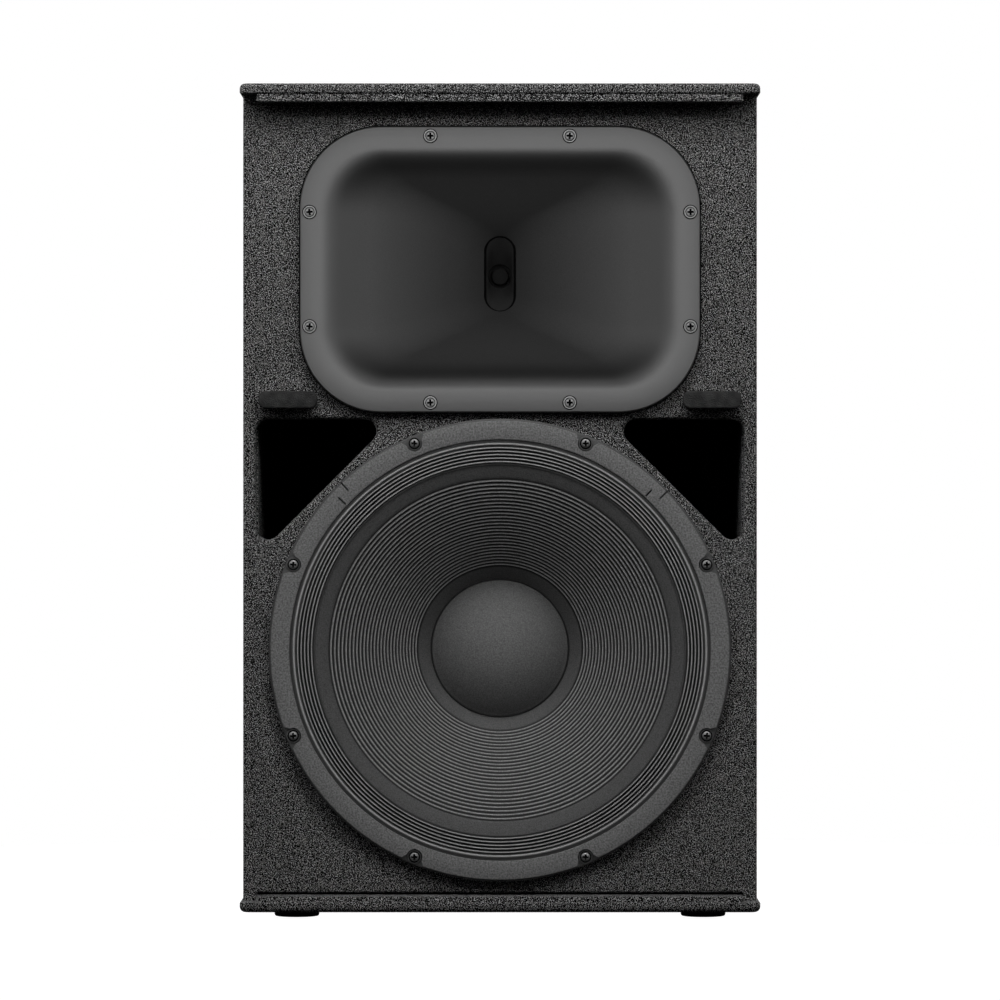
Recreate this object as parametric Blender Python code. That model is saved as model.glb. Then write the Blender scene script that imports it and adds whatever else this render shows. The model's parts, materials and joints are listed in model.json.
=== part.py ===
"""Passive two-way loudspeaker cabinet: a ported plywood box with a 15 inch woofer and a 1 inch horn driver.

Units are metres, +Z is up and the front faces -Y. The origin is on the floor under the cabinet's middle.
Every solid keeps a gap of TOUCH to the one it rests on.
"""

from math import cos, pi, radians, sin, tan

import bmesh
import bpy
from mathutils import Matrix, Vector

# ---------------------------------------------------------------- driving dimensions
WIDTH = 0.435  # of the top and bottom panels
DEPTH = 0.413
BOX_HEIGHT = 0.692  # without the feet
FOOT_HEIGHT = 0.007
TOUCH = 0.0003

# cabinet joinery
LAYER = 0.0078  # half of the top and bottom panels' thickness, left after the rebate
PANEL = 0.0154  # full thickness of the top and bottom panels
WALL = 0.012  # side, rear side, back and shelf panels
BAFFLE = 0.018
OVERHANG = 0.002  # of the top and bottom panels over the sides
LIP_STEP = 0.004  # the inner half of a lip stands this far behind its outer half
BAFFLE_RECESS = 0.024  # lip front to baffle front
BACK_RECESS = 0.016  # rear edge of the lids to the back panel
TAPER_Y = 0.085  # where the sides turn in
TAPER_X = 0.066  # how far they turn in by the back panel's outer face
LIP_CORNER = 0.008  # plan radius of the lids' front corners

# woofer, with depths measured back from the front of its gasket
WOOFER_Z = 0.2255
FRAME_R = 0.194
BOLT_R = 0.1873
GASKET_IN_R = 0.1775
GASKET_OUT_R = 0.1921
GASKET_T = 0.0035
FLANGE_T = 0.0067
BASKET_R = 0.176
NOTCH_R = 0.0068
CONE_R = 0.157
NECK_R = 0.039
CONE_RIM_D = 0.005
CONE_DROP = 0.090
CONE_CURVE = 1.45
CAP_R = 0.0589
CAP_RISE = 0.022
POLE_R = 0.0368
GAP_R = 0.0415

# horn and its driver, with depths measured back from the front of the horn's flange
HORN_Z = 0.5443
HORN_W, HORN_H, HORN_CORNER = 0.335, 0.2396, 0.068
HORN_FLANGE = 0.0077
MOUTH_A, MOUTH_B, MOUTH_C = 0.1445, 0.0975, 0.044  # half width, half height, corner radius
SLOT_A, SLOT_B, SLOT_D = 0.01365, 0.03215, 0.090
EXIT_R, EXIT_D = 0.0127, 0.143
HORN_WALL = 0.004
DRIVER_R = 0.045
HORN_BOLTS = ((0.0583, 0.1116), (0.1594, 0.0479))  # in one quarter, from the horn's centre

# ports: right triangles with one leg on the side panel and one under the shelf
PORT_TOP_Z = 0.4189
PORT_SUM = 0.5083  # x + z along the long side
PORT_CORNER = 0.0102
PORT_END_Y = -0.0625
SHELF_Z = 0.4195

# hardware
PAD_X, PAD_Z = 0.1776, 0.4351
PAD_W, PAD_H, PAD_T, PAD_CORNER = 0.0492, 0.0148, 0.012, 0.0062
HANDLE_Y, HANDLE_Z = -0.025, 0.500
HANDLE_W, HANDLE_H, HANDLE_T = 0.200, 0.132, 0.003
CUP_W, CUP_H, CUP_DEPTH, CUP_WALL = 0.180, 0.112, 0.062, 0.004
GRIP_R, GRIP_X, GRIP_RISE = 0.010, 0.200, 0.006
FOOT_R, FOOT_X, FOOT_FRONT_Y = 0.0189, 0.1716, -0.1465
FOOT_REAR_X, FOOT_REAR_Y = 0.115, 0.145
POLE_Y, POLE_BORE_R, POLE_TUBE_R, POLE_FLANGE_R, POLE_DEPTH = -0.050, 0.0178, 0.0205, 0.045, 0.085
PLATE_Z, PLATE_W, PLATE_H, PLATE_T = 0.170, 0.170, 0.110, 0.002
SOCKET_X, SOCKET_R, SOCKET_W, SOCKET_H = 0.045, 0.0120, 0.026, 0.031
KNOB_R, KNOB_LEN, SHAFT_R = 0.009, 0.012, 0.003

# derived places
FRONT_Y = -DEPTH / 2
BACK_Y = DEPTH / 2
TOP_Z = FOOT_HEIGHT + BOX_HEIGHT
BODY_X = WIDTH / 2 - OVERHANG
INNER_X = BODY_X - WALL
PORT_OUT_X = INNER_X
BAFFLE_Y = FRONT_Y + BAFFLE_RECESS
BAFFLE_BACK_Y = BAFFLE_Y + BAFFLE
BACK_OUT_Y = BACK_Y - BACK_RECESS
BACK_IN_Y = BACK_OUT_Y - WALL
FLOOR_IN_Z = FOOT_HEIGHT + PANEL
CEILING_Z = TOP_Z - PANEL
GASKET_Y = BAFFLE_Y - GASKET_T - FLANGE_T - TOUCH
HORN_Y = BAFFLE_Y - HORN_FLANGE - TOUCH
ROUND = 36  # segments of a large turned part


# ---------------------------------------------------------------- building blocks
def clear_scene():
    for item in list(bpy.data.objects):
        bpy.data.objects.remove(item)


def material(name, rgb, roughness, metallic=0.0):
    made = bpy.data.materials.get(name)
    if made is None:
        made = bpy.data.materials.new(name)
        made.use_nodes = True
        shader = made.node_tree.nodes["Principled BSDF"]
        shader.inputs["Base Color"].default_value = (*rgb, 1.0)
        shader.inputs["Roughness"].default_value = roughness
        shader.inputs["Metallic"].default_value = metallic
    return made


def textured_paint():
    return material("textured_paint", (0.030, 0.030, 0.031), 0.75)


def stained_board():
    return material("stained_board", (0.006, 0.006, 0.006), 0.9)


def filter_board():
    return material("filter_board", (0.02, 0.10, 0.05), 0.5)


def moulded_plastic():
    return material("moulded_plastic", (0.055, 0.055, 0.057), 0.55)


def black_rubber():
    return material("black_rubber", (0.020, 0.020, 0.020), 0.8)


def cone_paper():
    return material("cone_paper", (0.035, 0.035, 0.036), 0.8)


def cast_alloy():
    return material("cast_alloy", (0.035, 0.035, 0.037), 0.5, 0.6)


def ferrite():
    return material("ferrite", (0.06, 0.06, 0.065), 0.6)


def bright_steel():
    return material("bright_steel", (0.45, 0.45, 0.46), 0.35, 1.0)


def black_steel():
    return material("black_steel", (0.03, 0.03, 0.03), 0.45, 0.8)


def finish(name, bm, look):
    """Turns a bmesh into a named object whose faces point out, and shades it by its edges' angles."""
    bmesh.ops.recalc_face_normals(bm, faces=bm.faces)
    mesh = bpy.data.meshes.new(name)
    bm.to_mesh(mesh)
    bm.free()
    mesh.shade_smooth()
    mesh.set_sharp_from_angle(angle=radians(35))
    made = bpy.data.objects.new(name, mesh)
    bpy.context.scene.collection.objects.link(made)
    if look is not None:
        mesh.materials.append(look)
    return made


def fillet(corners, radius, steps=4):
    """An outline whose corners are arcs of one radius, or of one radius for each corner."""
    radii = radius if hasattr(radius, "__len__") else [radius] * len(corners)
    points = []
    for index, corner in enumerate(corners):
        here = Vector(corner)
        before = (Vector(corners[index - 1]) - here).normalized()
        after = (Vector(corners[(index + 1) % len(corners)]) - here).normalized()
        r = radii[index]
        if r <= 0:
            points.append(tuple(here))
            continue
        half = before.angle(after) / 2
        centre = here + (before + after).normalized() * (r / sin(half))
        start = here + before * (r / tan(half)) - centre
        sweep = pi - 2 * half
        turn = 1 if start.y * before.x - start.x * before.y > 0 else -1
        for step in range(steps + 1):
            a = turn * sweep * step / steps
            points.append((
                centre.x + start.x * cos(a) - start.y * sin(a),
                centre.y + start.x * sin(a) + start.y * cos(a),
            ))
    return points


def rectangle(width, height, radius=0.0, steps=4, centre=(0.0, 0.0)):
    a, b = width / 2, height / 2
    corners = [(centre[0] + x, centre[1] + y) for x, y in ((-a, -b), (a, -b), (a, b), (-a, b))]
    return fillet(corners, radius, steps)


# each plane's map from an outline's two numbers and its height to x, y and z
PLANES = {
    "XY": lambda u, v, h: (u, v, h),
    "XZ": lambda u, v, h: (u, h, v),
    "YZ": lambda u, v, h: (h, u, v),
}


def skin(name, loops, look, ends="caps"):
    """A solid through a row of loops of equal length, capped at its ends or closed into a ring."""
    bm = bmesh.new()
    rows = [[bm.verts.new(p) for p in loop] for loop in loops]
    count = len(rows[0])
    pairs = list(zip(rows, rows[1:]))
    if ends == "ring":
        pairs.append((rows[-1], rows[0]))
    for a, b in pairs:
        for i in range(count):
            j = (i + 1) % count
            bm.faces.new((a[i], a[j], b[j], b[i]))
    if ends == "caps":
        bm.faces.new(rows[0])
        bm.faces.new(rows[-1])
    return finish(name, bm, look)


def slab(name, outline, plane, low, high, look):
    """An outline in one of the PLANES, pulled from low to high."""
    place = PLANES[plane]
    bm = bmesh.new()
    face = bm.faces.new([bm.verts.new(place(u, v, low)) for u, v in outline])
    pulled = bmesh.ops.extrude_face_region(bm, geom=[face])["geom"]
    shift = Vector(place(0, 0, high - low))
    bmesh.ops.translate(bm, verts=[v for v in pulled if isinstance(v, bmesh.types.BMVert)], vec=shift)
    return finish(name, bm, look)


def turned(name, profile, look, segments=ROUND, axis="Y"):
    """A profile of (radius, place along the axis) points, spun a full turn. A radius of 0 closes the end."""
    bm = bmesh.new()
    place = {"Y": lambda r, d: (r, d, 0), "Z": lambda r, d: (r, 0, d)}[axis]
    verts = [bm.verts.new(place(r, d)) for r, d in profile]
    edges = [bm.edges.new(pair) for pair in zip(verts, verts[1:])]
    if profile[0][0] > 0 or profile[-1][0] > 0:
        edges.append(bm.edges.new((verts[-1], verts[0])))
    spin_axis = (0, 1, 0) if axis == "Y" else (0, 0, 1)
    bmesh.ops.spin(bm, geom=verts + edges, cent=(0, 0, 0), axis=spin_axis, angle=2 * pi, steps=segments,
                   use_merge=True)
    bmesh.ops.remove_doubles(bm, verts=bm.verts, dist=1e-6)
    return finish(name, bm, look)


def at(made, x, y, z):
    made.location = (x, y, z)
    return made


def cutter(made):
    """Marks a helper that only cuts other pieces."""
    made.hide_render = True
    made.display_type = "WIRE"
    return made


def boolean(target, tool, operation="DIFFERENCE"):
    step = target.modifiers.new(tool.name, "BOOLEAN")
    step.operation = operation
    step.solver = "EXACT"
    step.object = cutter(tool)


def merged(name, parts):
    """Joins closed helper meshes that don't touch into one cutter, each at its own place."""
    bm = bmesh.new()
    for part in parts:
        copy = part.data.copy()
        copy.transform(Matrix.Translation(part.location) @ part.rotation_euler.to_matrix().to_4x4())
        bm.from_mesh(copy)
        bpy.data.objects.remove(part)
    return cutter(finish(name, bm, None))


def pin_cutter(name, radius, low, high, x, z, sides=12):
    """A round cutter along Y at (x, z)."""
    return at(turned(name, [(0, low), (radius, low), (radius, high), (0, high)], None, sides), x, 0, z)


def post_cutter(name, radius, low, high, x, y, sides=24):
    """A round cutter along Z at (x, y)."""
    return at(turned(name, [(0, low), (radius, low), (radius, high), (0, high)], None, sides, "Z"), x, y, 0)


# ---------------------------------------------------------------- cabinet
def inner_corner(inset=0.0):
    """Where the inner faces of a side and a rear side meet, moved inwards by inset."""
    along = Vector((-TAPER_X, BACK_OUT_Y - TAPER_Y)).normalized()
    inwards = Vector((-along.y, along.x))
    start = Vector((BODY_X, TAPER_Y)) + inwards * (WALL + inset)
    x = INNER_X - inset
    return Vector((x, start.y + along.y * (x - start.x) / along.x)), along


def inner_x(y, inset=0.0):
    """Half width of the room at a place behind the taper's start."""
    corner, along = inner_corner(inset)
    return corner.x + along.x * (y - corner.y) / along.y


def room_outline(front_y, back_y, inset):
    """The cabinet's inside seen from above, moved inwards by inset."""
    corner, _ = inner_corner(inset)
    right = [(corner.x, front_y), (corner.x, corner.y), (inner_x(back_y, inset), back_y)]
    return right + [(-x, y) for x, y in reversed(right)]


def lid_outline():
    """The outer outline of the top and bottom panels, seen from above."""
    slope = TAPER_X / (BACK_OUT_Y - TAPER_Y)
    half = WIDTH / 2
    rear = half - slope * (BACK_Y - TAPER_Y)
    right = [(half, FRONT_Y), (half, TAPER_Y), (rear, BACK_Y)]
    radii = [LIP_CORNER, 0, LIP_CORNER / 2]
    return fillet(right + [(-x, y) for x, y in reversed(right)], radii + radii[::-1])


def lid(name, outer_z, side):
    """A top (side 1) or bottom (side -1) panel. Its inner half is rebated to lie between the walls."""
    step_z = outer_z - side * LAYER
    inner_z = outer_z - side * PANEL
    made = slab(name, lid_outline(), "XY", min(outer_z, step_z), max(outer_z, step_z), textured_paint())
    inner = room_outline(FRONT_Y + LIP_STEP, BACK_IN_Y - TOUCH, TOUCH)
    buried = step_z + side * LAYER / 2
    block = slab(name + "_inner_half", inner, "XY", min(inner_z, buried), max(inner_z, buried), None)
    boolean(made, block, "UNION")
    return made


def make_lids():
    lid("top_panel", TOP_Z, 1)
    bottom = lid("bottom_panel", FOOT_HEIGHT, -1)
    seat_z = FOOT_HEIGHT + 0.0036
    boolean(bottom, post_cutter("pole_seat", POLE_FLANGE_R + TOUCH, 0, seat_z, 0, POLE_Y))
    boolean(bottom, post_cutter("pole_hole", POLE_TUBE_R + TOUCH, 0, FLOOR_IN_Z + 0.01, 0, POLE_Y))


def wall_heights():
    """The walls stand in the lids' rebates."""
    return FOOT_HEIGHT + LAYER + TOUCH, TOP_Z - LAYER - TOUCH


def make_walls():
    low, high = wall_heights()
    corner, along = inner_corner()
    outer = Vector((BODY_X, TAPER_Y))
    split = Vector((0, TOUCH / 2))
    front_y = BAFFLE_BACK_Y + TOUCH
    for side, word in ((-1, "left"), (1, "right")):
        plan = [(BODY_X, front_y), tuple(outer - split), tuple(corner - split), (INNER_X, front_y)]
        plan = [(side * x, y) for x, y in plan]
        panel = slab(f"side_panel_{word}", plan, "XY", low, high, textured_paint())
        seat = rectangle(HANDLE_W + 2 * TOUCH, HANDLE_H + 2 * TOUCH, 0.0163, 4, (HANDLE_Y, HANDLE_Z))
        hole = rectangle(CUP_W + 2 * TOUCH, CUP_H + 2 * TOUCH, 0.0263, 4, (HANDLE_Y, HANDLE_Z))
        for what, shape, depth in (("seat", seat, HANDLE_T + TOUCH), ("hole", hole, WALL + 0.01)):
            span = sorted((side * (BODY_X - depth), side * (BODY_X + 0.01)))
            boolean(panel, slab(f"handle_{what}_{word}", shape, "YZ", *span, None))
        end_out = outer + along * ((BACK_OUT_Y - outer.y) / along.y)
        end_in = corner + along * ((BACK_OUT_Y - corner.y) / along.y)
        plan = [tuple(p) for p in (outer + split, end_out, end_in, corner + split)]
        plan = [(side * x, y) for x, y in plan]
        slab(f"rear_side_{word}", plan, "XY", low, high, textured_paint())


def make_back():
    low, high = wall_heights()
    wide, narrow = inner_x(BACK_IN_Y, TOUCH), inner_x(BACK_OUT_Y, TOUCH)
    plan = [(-wide, BACK_IN_Y), (wide, BACK_IN_Y), (narrow, BACK_OUT_Y), (-narrow, BACK_OUT_Y)]
    panel = slab("back_panel", plan, "XY", low, high, textured_paint())
    hole = rectangle(PLATE_W - 0.020, PLATE_H - 0.020, 0.006, 3, (0, PLATE_Z))
    boolean(panel, slab("plate_hole", hole, "XZ", BACK_IN_Y - 0.01, BACK_OUT_Y + 0.01, None))


def port_outline(side):
    out, top = PORT_OUT_X, PORT_TOP_Z
    corners = [(out, PORT_SUM - out), (out, top), (PORT_SUM - top, top)]
    return fillet([(side * x, z) for x, z in corners], PORT_CORNER)


def horn_bolt_places():
    return [(sx * x, HORN_Z + sz * z) for x, z in HORN_BOLTS for sx in (-1, 1) for sz in (-1, 1)]


def woofer_bolt_places():
    """Eight bolts on a circle, half a step off the vertical."""
    angles = [radians(22.5 + 45 * k) for k in range(8)]
    return [(BOLT_R * cos(a), WOOFER_Z + BOLT_R * sin(a)) for a in angles]


def make_baffle():
    low, high = wall_heights()
    floor, ceiling = FLOOR_IN_Z + TOUCH, CEILING_Z - TOUCH
    right = [(INNER_X, floor), (INNER_X, low), (BODY_X, low)]
    right += [(BODY_X, high), (INNER_X, high), (INNER_X, ceiling)]
    outline = right + [(-x, z) for x, z in reversed(right)]
    baffle = slab("baffle", outline, "XZ", BAFFLE_Y, BAFFLE_BACK_Y, textured_paint())
    before, behind = BAFFLE_Y - 0.01, BAFFLE_BACK_Y + 0.01
    horn_hole = rectangle(2 * (MOUTH_A + 0.006), 2 * (MOUTH_B + 0.006), MOUTH_C + 0.006, 6, (0, HORN_Z))
    boolean(baffle, slab("horn_cutout", horn_hole, "XZ", before, behind, None))
    boolean(baffle, pin_cutter("woofer_cutout", BASKET_R + 0.001, before, behind, 0, WOOFER_Z, ROUND))
    for side in (-1, 1):
        boolean(baffle, slab(f"port_cutout_{side > 0}", port_outline(side), "XZ", before, behind, None))
    places = horn_bolt_places() + woofer_bolt_places()
    holes = [pin_cutter("hole", 0.0031, before, behind, x, z, 6) for x, z in places]
    boolean(baffle, merged("baffle_pilot_holes", holes))


def make_shelf():
    """A shelf across the cabinet, which stiffens it and roofs the two ports."""
    outline = room_outline(BAFFLE_BACK_Y + TOUCH, BACK_IN_Y - TOUCH, TOUCH)
    shelf = slab("shelf_brace", outline, "XY", SHELF_Z, SHELF_Z + WALL, stained_board())
    for name, width, centre_y, length in (("front", 0.150, -0.055, 0.150), ("rear", 0.220, 0.105, 0.090)):
        window = rectangle(width, length, 0.020, 3, (0, centre_y))
        below, above = SHELF_Z - 0.01, SHELF_Z + WALL + 0.01
        boolean(shelf, slab(f"shelf_window_{name}", window, "XY", below, above, None))


def make_port_boards():
    """The sloping board that closes each triangular port duct on the woofer's side."""
    top, out = SHELF_Z - TOUCH, INNER_X - TOUCH
    thick = WALL * 2 ** 0.5
    for side, word in ((-1, "left"), (1, "right")):
        outline = [(PORT_SUM - top, top), (out, PORT_SUM - out), (out, PORT_SUM - out - thick),
                   (PORT_SUM - top - thick, top)]
        outline = [(side * x, z) for x, z in outline]
        slab(f"port_board_{word}", outline, "XZ", BAFFLE_BACK_Y + TOUCH, PORT_END_Y, stained_board())


# ---------------------------------------------------------------- cabinet hardware
def make_handles():
    for side, word in ((-1, "left"), (1, "right")):
        def ring(width, height, radius, x):
            outline = rectangle(width, height, radius, 4, (HANDLE_Y, HANDLE_Z))
            return [(side * x, y, z) for y, z in outline]

        face, back = BODY_X, BODY_X - HANDLE_T
        floor = BODY_X - CUP_DEPTH
        draft = 0.004
        inner_w, inner_h = CUP_W - 2 * CUP_WALL, CUP_H - 2 * CUP_WALL
        loops = [
            ring(inner_w - 2 * draft, inner_h - 2 * draft, 0.018, floor + CUP_WALL),
            ring(inner_w, inner_h, 0.022, face),
            ring(HANDLE_W, HANDLE_H, 0.016, face),
            ring(HANDLE_W, HANDLE_H, 0.016, back),
            ring(CUP_W, CUP_H, 0.026, back),
            ring(CUP_W - 2 * draft, CUP_H - 2 * draft, 0.022, floor),
        ]
        skin(f"handle_cup_{word}", loops, moulded_plastic())
        depth = BODY_X - GRIP_X + GRIP_R  # of the bar's inner side, where the cup is narrower
        half = inner_w / 2 - draft * depth / (CUP_DEPTH - CUP_WALL) - TOUCH
        grip = turned(f"handle_bar_{word}", [(0, -half), (GRIP_R, -half), (GRIP_R, half), (0, half)],
                      black_rubber(), 16)
        at(grip, side * GRIP_X, HANDLE_Y, HANDLE_Z + GRIP_RISE)


def make_feet():
    places = {
        "front_left": (-FOOT_X, FOOT_FRONT_Y), "front_right": (FOOT_X, FOOT_FRONT_Y),
        "rear_left": (-FOOT_REAR_X, FOOT_REAR_Y), "rear_right": (FOOT_REAR_X, FOOT_REAR_Y),
    }
    high = FOOT_HEIGHT - TOUCH
    profile = [(0, 0), (FOOT_R - 0.002, 0), (FOOT_R, 0.002), (FOOT_R, high), (0, high)]
    for word, (x, y) in places.items():
        at(turned(f"foot_{word}", profile, black_rubber(), 20, "Z"), x, y, 0)


def make_pole_socket():
    """A closed steel cup for a 35 mm stand pole, with its flange let into the bottom panel."""
    face = FOOT_HEIGHT + TOUCH
    flange, floor = 0.003, 0.003
    roof = face + POLE_DEPTH
    outside = [(0, roof + floor), (POLE_TUBE_R, roof + floor), (POLE_TUBE_R, face + flange)]
    rim = [(POLE_FLANGE_R, face + flange), (POLE_FLANGE_R, face)]
    profile = outside + rim + [(POLE_BORE_R, face), (POLE_BORE_R, roof), (0, roof)]
    at(turned("pole_socket", profile, black_steel(), 24, "Z"), 0, POLE_Y, 0)


def make_grille_pads():
    """Soft pads on the baffle, which hold the middle of the grille off it."""
    back = BAFFLE_Y - TOUCH
    for side, word in ((-1, "left"), (1, "right")):
        outline = rectangle(PAD_W, PAD_H, PAD_CORNER, 4, (side * PAD_X, PAD_Z))
        slab(f"grille_pad_{word}", outline, "XZ", back - PAD_T, back, black_rubber())


# ---------------------------------------------------------------- horn and driver
def horn_loop(a, b, corner, depth, steps=5):
    """One cross-section of the horn: a rectangle of half sizes a and b with round corners."""
    corner = min(corner, a - 0.0002, b - 0.0002)
    return [(x, HORN_Y + depth, HORN_Z + z) for x, z in rectangle(2 * a, 2 * b, corner, steps)]


def horn_section(share):
    """Half width, half height, corner and depth of the bell, from the mouth (0) to the slot (1)."""
    a = SLOT_A + (MOUTH_A - SLOT_A) * (1 - share) ** 1.35
    b = SLOT_B + (MOUTH_B - SLOT_B) * (1 - share) ** 1.25
    corner = SLOT_A + (MOUTH_C - SLOT_A) * (1 - share)
    return a, b, corner, 0.004 + (SLOT_D - 0.004) * share ** 1.25


def make_horn():
    """One moulding: a flange, a flared bell down to a tall slot, and a throat that turns the slot round."""
    shares = [k / 5 for k in range(6)]
    lead, skirt = 0.006, 0.004  # the rounded lead-in at the mouth and the wall behind the flange
    collar = EXIT_D - 0.007
    loops = [horn_loop(HORN_W / 2, HORN_H / 2, HORN_CORNER, 0)]
    loops.append(horn_loop(MOUTH_A + lead, MOUTH_B + lead, MOUTH_C + lead, 0))
    loops += [horn_loop(*horn_section(s)) for s in shares]
    for mix in (1 / 3, 2 / 3, 1):
        a, b = SLOT_A + (EXIT_R - SLOT_A) * mix, SLOT_B + (EXIT_R - SLOT_B) * mix
        loops.append(horn_loop(a, b, SLOT_A, SLOT_D + (EXIT_D - SLOT_D) * mix))
    loops += [horn_loop(DRIVER_R, DRIVER_R, DRIVER_R, depth) for depth in (EXIT_D, collar)]
    loops.append(horn_loop(SLOT_A + HORN_WALL, 0.024, SLOT_A, collar))
    for s in reversed(shares[1:]):
        a, b, corner, depth = horn_section(s)
        loops.append(horn_loop(a + HORN_WALL, b + HORN_WALL, corner + HORN_WALL, depth + HORN_WALL * (1 - s)))
    for depth in (HORN_FLANGE + 0.006, HORN_FLANGE):
        loops.append(horn_loop(MOUTH_A + skirt, MOUTH_B + skirt, MOUTH_C + skirt, depth))
    loops.append(horn_loop(HORN_W / 2, HORN_H / 2, HORN_CORNER, HORN_FLANGE))
    horn = skin("horn", loops, moulded_plastic(), "ring")
    before, behind = HORN_Y - 0.01, BAFFLE_Y + 0.01
    holes = [pin_cutter("hole", 0.0028, before, behind, x, z, 6) for x, z in horn_bolt_places()]
    boolean(horn, merged("horn_bolt_holes", holes))


def make_horn_driver():
    """A compression driver. The plate at its front carries the throat, the pole piece and the phase plug."""
    face = HORN_Y + EXIT_D + TOUCH
    pole_r, pole_end, plate_t, plug_end = 0.0205, 0.0262, 0.0067, 0.0022
    plug = [(0, plug_end), (0.006, plug_end), (0.008, 0.0030), (0.0095, 0.0140)]
    throat = [(EXIT_R + 0.001, 0.0140), (EXIT_R, 0), (DRIVER_R, 0), (DRIVER_R, plate_t)]
    pole = [(pole_r, plate_t), (pole_r, pole_end), (0, pole_end)]
    at(turned("hf_front_plate", plug + throat + pole, black_steel(), 20), 0, face, HORN_Z)

    def ring(name, inner, outer, low, high, look):
        profile = [(inner, low), (outer, low), (outer, high), (inner, high)]
        at(turned(name, profile, look, 20), 0, face, HORN_Z)

    ring("hf_magnet", 0.0260, 0.0430, 0.0070, 0.0207, ferrite())
    ring("hf_top_plate", 0.0232, 0.0430, 0.0210, 0.0262, black_steel())
    dome = [(0, 0.0345), (0.0108, 0.0333), (0.0186, 0.0299), (0.0212, 0.0272), (0.0212, 0.0216),
            (0.0222, 0.0216), (0.0222, 0.0276), (0.0190, 0.0305), (0.0110, 0.0339), (0, 0.0351)]
    at(turned("hf_diaphragm", dome, bright_steel(), 20), 0, face, HORN_Z)
    cover = [(0, 0.0420), (0.0280, 0.0410), (0.0360, 0.0330), (0.0360, 0.0300), (0.0280, 0.0290),
             (0.0280, 0.0265), (0.0430, 0.0265), (0.0430, 0.0420), (0.0370, 0.0460), (0, 0.0460)]
    at(turned("hf_rear_cover", cover, black_steel(), 20), 0, face, HORN_Z)


# ---------------------------------------------------------------- woofer
def cone_depth(radius):
    """Depth of the cone's front face: shallow at the rim and steep at the neck."""
    share = (CONE_R - radius) / (CONE_R - NECK_R)
    return CONE_RIM_D + CONE_DROP * max(share, 0.0) ** CONE_CURVE


def on_woofer(made):
    return at(made, 0, GASKET_Y, WOOFER_Z)


def make_frame():
    front = GASKET_T + TOUCH
    back = front + FLANGE_T - TOUCH
    profile = [
        (FRAME_R, front), (FRAME_R, back), (BASKET_R, back), (BASKET_R - 0.0005, 0.032), (0.114, 0.104),
        (0.104, 0.1117), (0.048, 0.1117), (0.048, 0.1075), (0.079, 0.1075), (0.079, 0.0985), (0.110, 0.0985),
        (BASKET_R - 0.0055, 0.031), (BASKET_R - 0.0055, front),
    ]
    frame = on_woofer(turned("woofer_frame", profile, cast_alloy()))
    windows = []
    near, far, half = 0.120, 0.195, radians(14)
    for k in range(8):
        middle = radians(45 * k)
        corners = [(r * cos(middle + s * half), WOOFER_Z + r * sin(middle + s * half))
                   for r, s in ((near, -1), (far, -1), (far, 1), (near, 1))]
        windows.append(slab("window", corners, "XZ", GASKET_Y + 0.042, GASKET_Y + 0.090, None))
    boolean(frame, merged("basket_windows", windows))
    holes = [pin_cutter("hole", 0.0031, GASKET_Y, BAFFLE_Y + 0.01, x, z, 6) for x, z in woofer_bolt_places()]
    boolean(frame, merged("frame_bolt_holes", holes))


def make_gasket():
    """A cork and rubber ring on the frame, notched round each bolt."""
    profile = [(GASKET_IN_R, 0), (GASKET_OUT_R, 0), (GASKET_OUT_R, GASKET_T), (GASKET_IN_R, GASKET_T)]
    gasket = on_woofer(turned("woofer_gasket", profile, black_rubber()))
    notches = []
    mouth = 1.6 * NOTCH_R
    for k in range(8):
        turn = Matrix.Rotation(radians(22.5 + 45 * k), 2)
        arc = [(BOLT_R - NOTCH_R * cos(a), NOTCH_R * sin(a)) for a in (radians(30 * i) for i in range(-3, 4))]
        outline = arc + [(BOLT_R + 0.010, mouth), (BOLT_R + 0.010, -mouth)]
        outline = [turn @ Vector(p) for p in outline]
        outline = [(p.x, WOOFER_Z + p.y) for p in outline]
        notches.append(slab("notch", outline, "XZ", GASKET_Y - 0.005, GASKET_Y + GASKET_T + 0.0001, None))
    boolean(gasket, merged("gasket_notches", notches))


def make_cone():
    thickness = 0.0012
    radii = [NECK_R + 0.0005 + (CONE_R - NECK_R - 0.0005) * k / 5 for k in range(6)]
    front = [(r, cone_depth(r)) for r in radii]
    back = [(r, cone_depth(r) + thickness) for r in reversed(radii)]
    on_woofer(turned("woofer_cone", front + back, cone_paper()))
    rim = cone_depth(CAP_R) - 0.0006

    def dome(inwards):
        angles = [pi / 2 * k / 3 for k in range(4)]
        return [((CAP_R - inwards) * sin(a), rim - (CAP_RISE - inwards) * cos(a)) for a in angles]

    on_woofer(turned("woofer_dust_cap", dome(0) + dome(0.001)[::-1], cone_paper()))


def make_surround():
    """The pleated edge between cone and frame, two rolls in this plain solid."""
    seat = GASKET_T + TOUCH - 0.0012
    thickness = 0.0008
    lip = cone_depth(CONE_R - 0.0035) - 0.0013
    rolls = 2
    first, last = CONE_R + 0.0005, BASKET_R - 0.0085
    steps = 2 * rolls
    line = [(CONE_R - 0.0035, lip)]
    for k in range(steps + 1):
        r = first + (last - first) * k / steps
        line.append((r, seat + (0.0012 if k % 2 == 0 else -0.0016)))
    line += [(BASKET_R - 0.0045, seat), (GASKET_IN_R - TOUCH, seat)]
    back = [(r, d + thickness) for r, d in reversed(line)]
    on_woofer(turned("woofer_surround", line + back, black_rubber()))


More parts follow.
